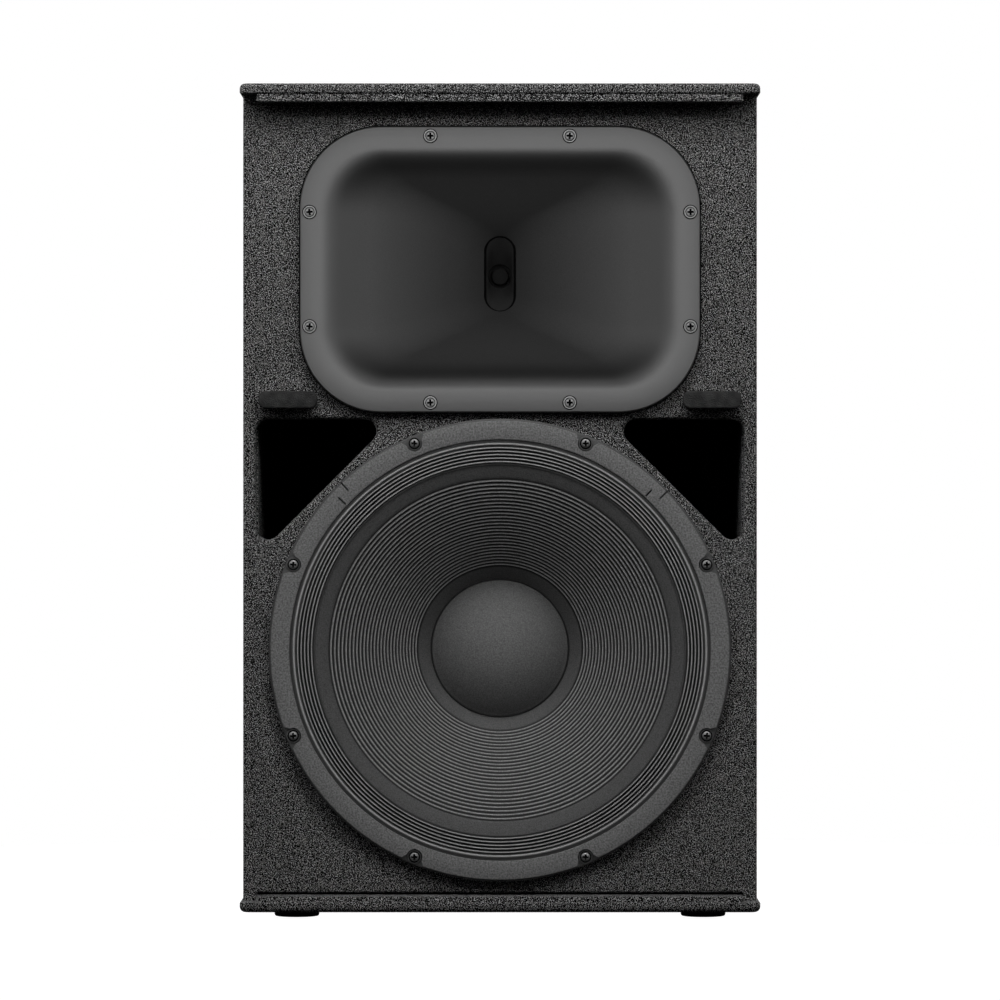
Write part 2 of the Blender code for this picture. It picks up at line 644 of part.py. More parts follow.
def make_spider():
    """The corrugated disc that centres the voice coil."""
    inner, outer, seat, wave, thickness = NECK_R + TOUCH, 0.078, 0.0970, 0.0018, 0.0012
    line = [(inner, seat), (inner + 0.005, seat)]
    folds = 3
    for k in range(1, 2 * folds):
        r = inner + 0.005 + (outer - inner - 0.005) * k / (2 * folds)
        line.append((r, seat + (wave if k % 2 else -wave)))
    line += [(outer, seat), (0.094, seat)]
    back = [(r, d + thickness) for r, d in reversed(line)]
    on_woofer(turned("woofer_spider", line + back, cone_paper(), 24))


def make_voice_coil():
    """The paper former glued in the cone's neck, with the winding at its rear end."""
    neck, start, end, winding, paper = 0.0945, 0.110, 0.134, 0.0012, 0.001
    profile = [(NECK_R - paper, neck), (NECK_R, neck), (NECK_R, start), (NECK_R + winding, start),
               (NECK_R + winding, end), (NECK_R - paper, end)]
    on_woofer(turned("woofer_voice_coil", profile, bright_steel(), 24))


def make_woofer_motor():
    """Top plate, ferrite ring and the back plate with its vented pole."""
    plate = [(GAP_R, 0.1120), (0.098, 0.1120), (0.098, 0.1210), (GAP_R, 0.1210)]
    on_woofer(turned("woofer_top_plate", plate, black_steel(), 24))
    ring = [(0.050, 0.1213), (0.097, 0.1213), (0.097, 0.1430), (0.050, 0.1430)]
    on_woofer(turned("woofer_magnet", ring, ferrite(), 24))
    yoke = [(0.012, 0.1120), (POLE_R, 0.1120), (POLE_R, 0.1443), (0.092, 0.1443), (0.092, 0.1553),
            (0.012, 0.1553)]
    on_woofer(turned("woofer_back_plate", yoke, black_steel(), 24))


# ---------------------------------------------------------------- fasteners
def screw(name, head_r, head_t, shank_r, length, look):
    """A screw that points along +Y, with its head's underside at the origin."""
    head = [(0, -head_t), (head_r * 0.75, -head_t), (head_r, 0)]
    shank = [(shank_r, 0), (shank_r, length), (0, length)]
    return turned(name, head + shank, look, 8)


def make_screws():
    for number, (x, z) in enumerate(horn_bolt_places(), 1):
        at(screw(f"horn_screw_{number}", 0.0056, 0.0016, 0.0021, 0.024, bright_steel()), x, HORN_Y - TOUCH, z)
    seat = GASKET_Y + GASKET_T
    for number, (x, z) in enumerate(woofer_bolt_places(), 1):
        at(screw(f"woofer_screw_{number}", 0.0041, 0.0024, 0.0024, 0.026, black_steel()), x, seat, z)


# ---------------------------------------------------------------- connections
def make_input_plate():
    outline = rectangle(PLATE_W, PLATE_H, 0.006, 3, (0, PLATE_Z))
    low = BACK_OUT_Y + TOUCH
    plate = slab("input_plate", outline, "XZ", low, low + PLATE_T, black_steel())
    before, behind = low - 0.01, low + PLATE_T + 0.01
    for x in (-SOCKET_X, SOCKET_X):
        boolean(plate, pin_cutter(f"socket_hole_{x > 0}", SOCKET_R + TOUCH, before, behind, x, PLATE_Z, 16))
    boolean(plate, pin_cutter("shaft_hole", SHAFT_R + TOUCH, before, behind, 0, PLATE_Z, 12))


def make_sockets():
    """Four-pole loudspeaker sockets: a round well with a key post in its middle."""
    face = BACK_OUT_Y + PLATE_T + 2 * TOUCH
    flange, well, post, wall = 0.0022, 0.0115, 0.0052, 0.0105
    for word, x in (("input", -SOCKET_X), ("link", SOCKET_X)):
        outline = rectangle(SOCKET_W, SOCKET_H, 0.003, 3, (x, PLATE_Z))
        socket = slab(f"socket_{word}", outline, "XZ", face, face + flange, moulded_plastic())
        profile = [(0, -0.016), (SOCKET_R, -0.016), (SOCKET_R, 0.001), (0, 0.001)]
        body = turned(f"socket_body_{word}", profile, None, 16)
        boolean(socket, at(body, x, face, PLATE_Z), "UNION")
        profile = [(post, -0.013), (wall, -0.013), (wall, well), (post, well)]
        boolean(socket, at(turned(f"socket_well_{word}", profile, None, 16), x, face, PLATE_Z))


def make_mode_knob():
    """The knob that selects passive or bi-amplified working."""
    face = BACK_OUT_Y + PLATE_T + 3 * TOUCH
    profile = [(0, -0.012), (SHAFT_R, -0.012), (SHAFT_R, 0), (KNOB_R, 0), (KNOB_R, KNOB_LEN - 0.001),
               (KNOB_R - 0.001, KNOB_LEN), (0, KNOB_LEN)]
    knob = at(turned("mode_knob", profile, moulded_plastic(), 16), 0, face, PLATE_Z)
    groove = rectangle(0.0016, 0.020, 0, 0, (0, 0.008))
    pointer = slab("knob_pointer", groove, "XZ", KNOB_LEN - 0.001, KNOB_LEN + 0.01, None)
    boolean(knob, at(pointer, 0, face, PLATE_Z))


def make_crossover():
    """The filter board on the bottom panel, with its coils and capacitors."""
    floor = FLOOR_IN_Z + TOUCH
    board_z = floor + 0.008
    outline = rectangle(0.150, 0.100, 0.002, 2, (0, 0.110))
    board = slab("crossover_board", outline, "XY", board_z, board_z + 0.0016, filter_board())
    parts = [(-0.045, 0.090, 0.024, 0.028), (0.010, 0.088, 0.018, 0.022), (0.050, 0.130, 0.010, 0.034),
             (0.020, 0.135, 0.010, 0.030)]
    for number, (x, y, radius, height) in enumerate(parts):
        top = board_z + height
        boolean(board, post_cutter(f"board_part_{number}", radius, board_z + 0.001, top, x, y, 12), "UNION")
    for number, (x, y) in enumerate(((-0.068, 0.067), (0.068, 0.067), (-0.068, 0.153), (0.068, 0.153))):
        boolean(board, post_cutter(f"board_leg_{number}", 0.004, floor, board_z + 0.001, x, y, 8), "UNION")


def main():
    clear_scene()
    make_lids()
    make_walls()
    make_back()
    make_baffle()
    make_shelf()
    make_port_boards()
    make_handles()
    make_feet()
    make_pole_socket()
    make_grille_pads()
    make_horn()
    make_horn_driver()
    make_frame()
    make_gasket()
    make_cone()
    make_surround()
    make_spider()
    make_voice_coil()
    make_woofer_motor()
    make_screws()
    make_input_plate()
    make_sockets()
    make_mode_knob()
    make_crossover()


main()
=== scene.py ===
"""Looks of the two-way loudspeaker cabinet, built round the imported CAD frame.

Most places and sizes are read from the frame. Detail that it leaves out or holds only coarsely, such as ribs,
rolls, the horn's bell, round edges, screw heads and grain, has its sizes here. Units are metres.
"""

import json
from math import acos, cos, hypot, pi, radians, sin, sqrt, tan

import bmesh
import bpy
import numpy as np
from mathutils import Matrix, Vector

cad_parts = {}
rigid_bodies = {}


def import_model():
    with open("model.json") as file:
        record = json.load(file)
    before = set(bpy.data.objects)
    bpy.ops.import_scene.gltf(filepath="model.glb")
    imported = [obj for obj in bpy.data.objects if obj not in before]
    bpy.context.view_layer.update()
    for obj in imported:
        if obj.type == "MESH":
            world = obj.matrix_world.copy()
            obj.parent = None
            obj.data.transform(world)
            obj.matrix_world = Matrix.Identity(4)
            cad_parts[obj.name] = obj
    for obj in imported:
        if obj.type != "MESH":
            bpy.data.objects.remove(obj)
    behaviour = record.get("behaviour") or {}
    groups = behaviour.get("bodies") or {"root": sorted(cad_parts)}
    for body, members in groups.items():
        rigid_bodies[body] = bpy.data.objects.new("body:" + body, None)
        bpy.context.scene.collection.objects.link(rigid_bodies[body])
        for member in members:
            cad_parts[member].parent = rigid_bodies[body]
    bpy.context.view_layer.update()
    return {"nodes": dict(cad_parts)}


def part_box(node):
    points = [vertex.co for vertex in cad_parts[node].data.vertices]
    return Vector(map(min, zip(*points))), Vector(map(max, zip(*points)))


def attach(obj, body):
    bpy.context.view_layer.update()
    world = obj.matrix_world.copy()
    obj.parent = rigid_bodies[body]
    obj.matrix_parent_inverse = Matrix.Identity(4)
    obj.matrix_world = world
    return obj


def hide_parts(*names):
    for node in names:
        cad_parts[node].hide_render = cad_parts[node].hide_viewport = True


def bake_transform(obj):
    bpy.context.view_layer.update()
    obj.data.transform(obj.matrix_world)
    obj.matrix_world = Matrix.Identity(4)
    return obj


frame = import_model()

ROOT, CONE, KNOB = "cabinet", "woofer_cone_assembly", "mode_knob"
TOUCH = 0.0003  # the gap that the CAD solids keep
PAST = 0.01  # how far a cutter reaches past what it cuts

# ---- places, read from the frame
LID_LOW, LID_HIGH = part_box("top_panel")
BASE_LOW, BASE_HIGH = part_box("bottom_panel")
BAFFLE_LOW, BAFFLE_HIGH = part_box("baffle")
SIDE_LOW, SIDE_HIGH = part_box("side_panel_right")
BACK_LOW, BACK_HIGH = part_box("back_panel")
SHELF_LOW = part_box("shelf_brace")[0]
BOARD_LOW, BOARD_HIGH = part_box("port_board_right")
HORN_LOW, HORN_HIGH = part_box("horn")
GASKET_LOW, GASKET_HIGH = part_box("woofer_gasket")
RING_LOW, RING_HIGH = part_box("woofer_frame")
CONE_LOW, CONE_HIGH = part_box("woofer_cone")
CAP_LOW, CAP_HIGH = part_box("woofer_dust_cap")

WOOFER_Z = (RING_LOW.z + RING_HIGH.z) / 2
HORN_Z = (HORN_LOW.z + HORN_HIGH.z) / 2
GASKET_Y = GASKET_LOW.y
HORN_Y = HORN_LOW.y
BAFFLE_Y = BAFFLE_LOW.y
BODY_X = BAFFLE_HIGH.x
INNER_X = SIDE_LOW.x
WALL = BODY_X - INNER_X
SLANT_WALL = WALL * 1.13  # width along X of a wall's slanting rear part
TAPER_Y = SIDE_HIGH.y
INNER_TAPER_Y = TAPER_Y - 0.003


# ---- outlines
def fillet(corners, radius, steps=8):
    """An outline whose corners are arcs of one radius, or of one radius for each corner."""
    radii = radius if hasattr(radius, "__len__") else [radius] * len(corners)
    points = []
    for index, corner in enumerate(corners):
        here = Vector(corner)
        before = (Vector(corners[index - 1]) - here).normalized()
        after = (Vector(corners[(index + 1) % len(corners)]) - here).normalized()
        r = max(radii[index], 1e-5)
        half = before.angle(after) / 2
        centre = here + (before + after).normalized() * (r / sin(half))
        start = here + before * (r / tan(half)) - centre
        sweep = pi - 2 * half
        turn = 1 if start.y * before.x - start.x * before.y > 0 else -1
        for share in shares(steps):
            a = turn * sweep * share
            points.append((
                centre.x + start.x * cos(a) - start.y * sin(a),
                centre.y + start.x * sin(a) + start.y * cos(a),
            ))
    return points


def inset(corners, distance):
    """A polygon with each side moved inwards by a distance, or outwards by a negative one."""
    count = len(corners)
    area = sum(corners[i - 1][0] * corners[i][1] - corners[i][0] * corners[i - 1][1] for i in range(count))
    turn = 1 if area > 0 else -1
    moved = []
    for i in range(count):
        a, b, c = (Vector(corners[(i + k) % count]) for k in (-1, 0, 1))
        u, v = (b - a).normalized(), (c - b).normalized()
        n, m = Vector((-u.y, u.x)) * turn, Vector((-v.y, v.x)) * turn
        step = (n + m) / (1 + n.dot(m)) * distance
        moved.append((b.x + step.x, b.y + step.y))
    return moved


def mirrored(right):
    """An outline whose right half is given."""
    return right + [(-x, y) for x, y in reversed(right)]


def box_corners(a, b, centre=(0.0, 0.0)):
    return [(centre[0] + x, centre[1] + z) for x, z in ((-a, -b), (a, -b), (a, b), (-a, b))]


def round_box(a, b, corner, centre=(0.0, 0.0), steps=8, along=0):
    """A rectangle of half sizes a and b with round corners, and points along its straight sides."""
    corner = min(corner, a - 1e-4, b - 1e-4)
    outline = fillet(box_corners(a, b, centre), corner, steps)
    if not along:
        return outline
    points = []
    for k in range(0, len(outline), steps + 1):
        arc = outline[k:k + steps + 1]
        points += arc
        start, end = Vector(arc[-1]), Vector(outline[(k + steps + 1) % len(outline)])
        points += [tuple(start.lerp(end, i / (along + 1))) for i in range(1, along + 1)]
    return points


def shares(count):
    """Even steps from 0 to 1."""
    return [k / count for k in range(count + 1)]


def quarter(radius, steps=4):
    """Points (in, down) of a round edge, from its flat end (radius, 0) to its side (0, radius)."""
    return [(radius * (1 - sin(pi / 2 * s)), radius * (1 - cos(pi / 2 * s))) for s in shares(steps)]


# from an outline's two numbers and its height to x, y and z
PLANES = {
    "XY": lambda u, v, h: (u, v, h),
    "XZ": lambda u, v, h: (u, h, v),
    "YZ": lambda u, v, h: (h, u, v),
}


# ---- meshes
def to_mesh(name, bm, sharp):
    bmesh.ops.recalc_face_normals(bm, faces=bm.faces)
    mesh = bpy.data.meshes.new(name)
    bm.to_mesh(mesh)
    bm.free()
    mesh.shade_smooth()
    mesh.set_sharp_from_angle(angle=radians(sharp))
    return mesh


def in_scene(name, data):
    made = bpy.data.objects.new(name, data)
    bpy.context.scene.collection.objects.link(made)
    return made


def add(name, mesh, look=None):
    made = in_scene(name, mesh)
    if look is not None:
        mesh.materials.clear()
        mesh.materials.append(look)
    return made


def skin_mesh(name, loops, ends="caps", sharp=35):
    """A closed surface through loops of equal length, capped or closed into a ring."""
    bm = bmesh.new()
    rows = [[bm.verts.new(p) for p in loop] for loop in loops]
    count = len(rows[0])
    pairs = list(zip(rows, rows[1:]))
    if ends == "ring":
        pairs.append((rows[-1], rows[0]))
    for a, b in pairs:
        for i in range(count):
            j = (i + 1) % count
            bm.faces.new((a[i], a[j], b[j], b[i]))
    if ends == "caps":
        bm.faces.new(rows[0])
        bm.faces.new(rows[-1])
    return to_mesh(name, bm, sharp)


def spin_mesh(name, profile, segments=96, axis="Y", sharp=35, centre=(0, 0, 0)):
    """A profile of (radius, place along) points turned round Y or Z. A radius of 0 closes an end."""
    angles = [2 * pi * k / segments for k in range(segments)]
    x, y, z = centre

    def place(r, d, a):
        if axis == "Y":
            return x + r * cos(a), y + d, z + r * sin(a)
        return x + r * cos(a), y + r * sin(a), z + d

    bm = bmesh.new()
    rows = [[bm.verts.new(place(r, d, a)) for a in (angles if r > 0 else [0])] for r, d in profile]
    pairs = list(zip(rows, rows[1:]))
    if profile[0][0] > 0 and profile[-1][0] > 0:
        pairs.append((rows[-1], rows[0]))
    for a, b in pairs:
        for i in range(segments):
            j = (i + 1) % segments
            if len(a) == 1:
                bm.faces.new((a[0], b[j], b[i]))
            elif len(b) == 1:
                bm.faces.new((a[i], a[j], b[0]))
            else:
                bm.faces.new((a[i], a[j], b[j], b[i]))
    return to_mesh(name, bm, sharp)


def rod_mesh(name, radius, low, high, centre, segments=48, axis="Y"):
    """A plain cylinder from low to high along its axis."""
    profile = [(0, low), (radius, low), (radius, high), (0, high)]
    return spin_mesh(name, profile, segments, axis, centre=centre)


def slab_mesh(name, outline, plane, low, high, edge=0.0):
    """An outline pulled from low to high. Its edge at high can be round."""
    place = PLANES[plane]
    levels = [(0.0, low)]
    levels += [(i, high - d) for i, d in reversed(quarter(edge, 3))] if edge else [(0.0, high)]
    loops = [[place(u, v, h) for u, v in (inset(outline, i) if i else outline)] for i, h in levels]
    return skin_mesh(name, loops)


def cut(target, tool_mesh, operation="DIFFERENCE"):
    """Cuts a mesh from, or joins it to, an object, and keeps the result as the object's own mesh."""
    tool = add("tool", tool_mesh)
    step = target.modifiers.new("cut", "BOOLEAN")
    step.operation, step.solver, step.object = operation, "EXACT", tool
    graph = bpy.context.evaluated_depsgraph_get()
    result = bpy.data.meshes.new_from_object(target.evaluated_get(graph), depsgraph=graph)
    target.modifiers.clear()
    look = target.data.materials[0]
    target.data = result
    result.materials.clear()
    result.materials.append(look)
    result.polygons.foreach_set("material_index", [0] * len(result.polygons))
    bpy.data.objects.remove(tool)


def joined(name, meshes):
    """Several closed meshes that don't touch, as one."""
    bm = bmesh.new()
    for mesh in meshes:
        bm.from_mesh(mesh)
    mesh = bpy.data.meshes.new(name)
    bm.to_mesh(mesh)
    bm.free()
    return mesh


def reshade(made, sharp=35):
    made.data.shade_smooth()
    made.data.set_sharp_from_angle(angle=radians(sharp))


def settle(made, body, slot, replaces=()):
    """Puts a finished piece on its body and hides the CAD nodes that it stands for. The slot is not used."""
    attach(made, body)
    if replaces:
        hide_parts(*replaces)
    return made


def finish(made, slot, replaces, sharp=35):
    """Shades a cut piece of the cabinet again, and settles it."""
    reshade(made, sharp)
    settle(made, ROOT, slot, replaces)


def piece(name, mesh, look, slot, replaces=(), body=ROOT):
    return settle(add(name, mesh, look), body, slot, replaces)


def copy_of(mesh, name, place, slot, replaces=(), turn=(0, 0, 0)):
    """A part that shares its mesh with others is placed as an object."""
    made = add(name, mesh)
    made.location = place
    made.rotation_euler = turn
    settle(made, ROOT, slot, replaces)


def black_screws(mesh, name, spots, turn):
    for number, spot in enumerate(spots, 1):
        copy_of(mesh, f"{name}_{number}", spot, "black_steel", turn=(0, 0, turn))


def middle_of(node, u=0, v=2):
    low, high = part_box(node)
    return (low[u] + high[u]) / 2, (low[v] + high[v]) / 2


def seen(node, u=0, v=2):
    """A node's box, and its middle and half sizes on two of its axes."""
    low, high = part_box(node)
    return low, high, middle_of(node, u, v), (high[u] - low[u]) / 2, (high[v] - low[v]) / 2


def paint_shade_black(mesh, is_dark):
    """Gives matt black, as the mesh's second material, to the faces whose centres pass a test: painted shade.
    """
    mesh.materials.append(BLACK_STAIN_AND_SHADE)
    for face in mesh.polygons:
        face.material_index = int(is_dark(face.center))


def mark_crests(mesh, values):
    """Stores a value for each vertex, such as its height among the ribs, for its material to read."""
    layer = mesh.attributes.new("crest", "FLOAT", "POINT")
    layer.data.foreach_set("value", np.array(values, np.float32))


# ---- materials
def add_node(tree, kind, inputs, **settings):
    """A shader node whose inputs are set to values or linked to other nodes' outputs."""
    made = tree.nodes.new("ShaderNode" + kind)
    for key, value in settings.items():
        setattr(made, key, value)
    for key, value in inputs.items():
        if hasattr(value, "is_linked"):
            tree.links.new(value, made.inputs[key])
        else:
            made.inputs[key].default_value = value
    return made


def nodes_of(name, rough, metallic=0.0, specular=0.5):
    look = bpy.data.materials.new(name)
    look.use_nodes = True
    tree = look.node_tree
    shader = tree.nodes["Principled BSDF"]
    for key, value in (("Roughness", rough), ("Metallic", metallic), ("Specular IOR Level", specular)):
        shader.inputs[key].default_value = value
    return look, tree, shader, add_node(tree, "TexCoord", {}).outputs["Object"]


def noise(tree, where, scale, detail=2.0, rough=0.5):
    inputs = {"Vector": where, "Scale": scale, "Detail": detail, "Roughness": rough}
    return add_node(tree, "TexNoise", inputs).outputs["Fac"]


def cells(tree, where, scale):
    return add_node(tree, "TexVoronoi", {"Vector": where, "Scale": scale}).outputs["Distance"]


def calc(tree, operation, *values):
    return add_node(tree, "Math", dict(enumerate(values)), operation=operation).outputs[0]


def ramp(tree, value, stops):
    """A colour ramp through (place, grey or colour) stops."""
    made = add_node(tree, "ValToRGB", {"Fac": value})
    elements = made.color_ramp.elements
    while len(elements) < len(stops):
        elements.new(0.5)
    for element, (place, colour) in zip(elements, stops):
        element.position = place
        grey = colour if hasattr(colour, "__len__") else (colour,) * 3
        element.color = (*grey, 1.0)
    return made.outputs["Color"]


def tint(tree, shader, value, stops):
    tree.links.new(ramp(tree, value, stops), shader.inputs["Base Color"])


def bump(tree, shader, height, distance):
    made = add_node(tree, "Bump", {"Height": height, "Distance": distance, "Strength": 1.0})
    tree.links.new(made.outputs["Normal"], shader.inputs["Normal"])


def textured_paint():
    """Sprayed coating with coarse round grains that stand up, coloured by their height: painted shade in
    their hollows and painted highlight on their tops.
    """
    look, tree, shader, where = nodes_of("textured_paint", 0.6, 0.0, 0.05)
    grain_and_glint = noise(tree, where, 1250.0, 1.5, 0.6)
    # the grains' colour follows their bump: near black hollows as painted shade, light tops as painted
    # highlight
    stops = [(0.44, 0.0004), (0.492, 0.002), (0.528, 0.020), (0.560, 0.140), (0.605, 0.660)]
    tint(tree, shader, grain_and_glint, stops)
    bump(tree, shader, grain_and_glint, 0.0020)
    return look


def plain(name, low, high, rough, grain, depth, metallic=0.0, specular=0.5, detail=2.0):
    """A material with a little grain: its colour runs from low to high, and its bump is depth high."""
    look, tree, shader, where = nodes_of(name, rough, metallic, specular)
    value = noise(tree, where, grain, detail)
    tint(tree, shader, value, [(0.35, low), (0.65, high)])
    bump(tree, shader, value, depth)
    return look


def ribbed(name, stops, rough, specular, grain, depth, rough_stops=None):
    """A mottled material whose colour, and roughness if given, follow the mesh's crest value; its colour
    ramps paint light and shade by shape.
    """
    look, tree, shader, where = nodes_of(name, rough, 0.0, specular)
    crest = add_node(tree, "Attribute", {}, attribute_name="crest").outputs["Fac"]
    value = noise(tree, where, grain, 3.0)
    mottle = calc(tree, "MULTIPLY_ADD", value, 1.8, 0.1)  # a middle grain leaves the colour as it is
    inputs = {0: ramp(tree, crest, stops), "Scale": mottle}
    scaled = add_node(tree, "VectorMath", inputs, operation="SCALE")
    tree.links.new(scaled.outputs["Vector"], shader.inputs["Base Color"])
    if rough_stops:
        tree.links.new(ramp(tree, crest, rough_stops), shader.inputs["Roughness"])
    bump(tree, shader, value, depth)
    return look


def foam():
    """Foam: small pits all over, with lighter and darker patches."""
    look, tree, shader, where = nodes_of("pad_foam", 0.9, 0.0, 0.2)
    tint(tree, shader, cells(tree, where, 160.0), [(0.0, 0.050), (0.8, 0.026)])
    bump(tree, shader, cells(tree, where, 900.0), 0.0006)
    return look


def brushed(name, tone, rough):
    """Turned or rolled metal with fine streaks."""
    look, tree, shader, where = nodes_of(name, rough, 1.0)
    streaks = add_node(tree, "Mapping", {"Vector": where, "Scale": (1.0, 12.0, 1.0)})
    value = noise(tree, streaks.outputs["Vector"], 900.0, 3.0)
    tint(tree, shader, value, [(0.3, tone * 0.8), (0.7, tone * 1.1)])
    bump(tree, shader, value, 0.00004)
    return look


def weave(name, low, high, pitch):
    """Woven cloth: two sets of threads crossing."""
    look, tree, shader, where = nodes_of(name, 0.75)
    inputs = {"Vector": where, "Scale": 1.0 / pitch / 3.0}
    waves = [add_node(tree, "TexWave", inputs, bands_direction=axis).outputs["Fac"] for axis in "XZ"]
    value = calc(tree, "MULTIPLY", *waves)
    tint(tree, shader, value, [(0.0, low), (0.6, high)])
    bump(tree, shader, value, 0.0002)
    return look


PAINT = textured_paint()
# the horn's crest value is its depth: a satin flange, and a duller bell whose colour darkens inwards, painted
# shade towards the throat
HORN_TONES_PAINTED_SHADE = [(0.0, 0.006), (0.04, 0.010), (0.12, 0.027), (0.3, 0.024), (0.6, 0.020), (1.0, 0.016)]
HORN_ROUGH = [(0.0, 0.43), (0.04, 0.50), (0.20, 0.70), (0.4, 0.85)]
HORN_PLASTIC = ribbed("horn_plastic", HORN_TONES_PAINTED_SHADE, 0.43, 1.0, 1400.0, 0.00004, HORN_ROUGH)
GASKET = plain("gasket_sheet", 0.058, 0.158, 0.60, 700.0, 0.00020, detail=5.0)
# the cone's crest value colours its ribs: painted highlight on the crests, painted shade in the grooves
PAPER_WITH_PAINTED_RIB_LIGHT = ribbed("cone_paper", [(0.0, 0.001), (0.45, 0.034), (1.0, 0.25)], 0.60, 0.3, 1000.0, 0.00028)
# the cap's crest value runs from its rim to its middle: a dark rim of painted shadow, then painted highlight
# that brightens towards the middle
CAP_PAINTED_LIGHT_TONES = [(0.0, 0.004), (0.020, 0.004), (0.030, 0.073), (1.0, 0.106)]
CAP_PAPER = ribbed("cap_paper", CAP_PAINTED_LIGHT_TONES, 0.70, 0.4, 900.0, 0.00022)
# the surround's crest value colours its rolls and steps: painted highlight on the crests, painted shade in
# the grooves
CLOTH_WITH_PAINTED_ROLL_LIGHT = ribbed("doped_cloth", [(0.0, 0.001), (0.5, 0.028), (1.0, 0.28)], 0.45, 0.5, 2000.0, 0.00006)
CAST = plain("cast_frame", 0.032, 0.060, 0.60, 1500.0, 0.00006)
BLACK_STEEL = plain("black_steel", 0.010, 0.016, 0.40, 1200.0, 0.00003)
DRIVER_BLACK = plain("driver_black", 0.010, 0.016, 0.7, 1200.0, 0.00003, specular=0.2)
# black stain for the port boards, also the painted shade on screw recesses, washer rings, the horn's slot
# walls and the ring round the horn's flange
BLACK_STAIN_AND_SHADE = plain("stained_board", 0.0015, 0.003, 0.95, 500.0, 0.0001, specular=0.1)
FOAM = foam()
RUBBER = plain("black_rubber", 0.008, 0.014, 0.65, 900.0, 0.00008)
# a darker copy of the black rubber for the feet, which sit in shade: painted shade
SHADED_FOOT_RUBBER = plain("foot_rubber_painted_shade", 0.003, 0.005, 0.7, 900.0, 0.00008, specular=0.15)
HANDLE = plain("handle_plastic", 0.012, 0.018, 0.5, 1600.0, 0.00012)
MOULDED = plain("moulded_plastic", 0.012, 0.018, 0.4, 1800.0, 0.00003)
POINTER_WHITE = plain("pointer_white", 0.62, 0.70, 0.5, 900.0, 0.00002)
ZINC = brushed("zinc_steel", 0.42, 0.60)
DARK_ZINC = brushed("black_oxide_steel", 0.26, 0.55)
FERRITE = plain("ferrite", 0.035, 0.055, 0.55, 800.0, 0.0001)
COIL = plain("copper_winding", (0.45, 0.20, 0.09), (0.62, 0.30, 0.15), 0.35, 2500.0, 0.0001, 1.0)
TITANIUM = brushed("titanium_foil", 0.45, 0.3)
SPIDER_CLOTH = weave("spider_cloth", (0.16, 0.11, 0.05), (0.34, 0.25, 0.13), 0.0012)
BOARD = plain("filter_board", (0.010, 0.045, 0.020), (0.018, 0.070, 0.032), 0.45, 300.0, 0.00003)


# ---- cabinet
# half width of a lid's straight rear edge
LID_REAR = max(v.co.x for v in frame["nodes"]["top_panel"].data.vertices if v.co.y > LID_HIGH.y - 1e-5)
# half width over the walls at the back panel's outer face, which taper as the lids do
REAR_X = BODY_X - (LID_HIGH.x - LID_REAR) / (LID_HIGH.y - TAPER_Y) * (BACK_HIGH.y - TAPER_Y)


def make_lids():
    """The top and bottom panels: a lip with round edges outside, and a narrower layer inside it."""
    rear = LID_REAR + 0.003  # the corner lies past the end of its rounding
    outer = mirrored([(LID_HIGH.x, LID_LOW.y), (LID_HIGH.x, TAPER_Y), (rear, LID_HIGH.y)])
    radii = [0.008, 0.02, 0.006, 0.006, 0.02, 0.008]
    slope = (LID_HIGH.x - rear) / (LID_HIGH.y - TAPER_Y)
    lip_step, inner_x, back = 0.0015, INNER_X - TOUCH, BACK_LOW.y - TOUCH
    inner_rear = inner_x - slope * (back - INNER_TAPER_Y)
    inner = mirrored([(inner_x, LID_LOW.y + lip_step), (inner_x, INNER_TAPER_Y), (inner_rear, back)])
    inner_radii, inner_edge = [0.002] * 6, 0.0008
    depth = LID_HIGH.z - LID_LOW.z
    step = depth - (BASE_HIGH.z - BAFFLE_LOW.z + TOUCH) + 0.0006
    kinds = (("top_panel", LID_HIGH.z, -1, depth, 0.0040, 0.0012),
             ("bottom_panel", BASE_LOW.z, 1, depth - 0.0022, 0.0045, 0.0013))
    for name, face, side, top, lip_edge, under_edge in kinds:

        def level(corners, round_by, inwards, down):
            shape = fillet(inset(corners, inwards), [max(r - inwards, 0.0002) for r in round_by], 6)
            return [(x, y, face + side * down) for x, y in shape]

        loops = [level(inner, inner_radii, i, top - d) for i, d in quarter(inner_edge, 2)]
        loops.append(level(inner, inner_radii, 0.0, step))
        loops += [level(outer, radii, i, step - d) for i, d in quarter(under_edge)]
        loops += [level(outer, radii, i, d) for i, d in reversed(quarter(lip_edge))]
        piece(name + "_shell", skin_mesh(name, loops, sharp=40), PAINT, "textured_paint", [name])


# a handle's flange: its corner radius, its width round the cup, and its thickness
HANDLE_CORNER, HANDLE_RIM, HANDLE_FLANGE = 0.016, 0.010, 0.003


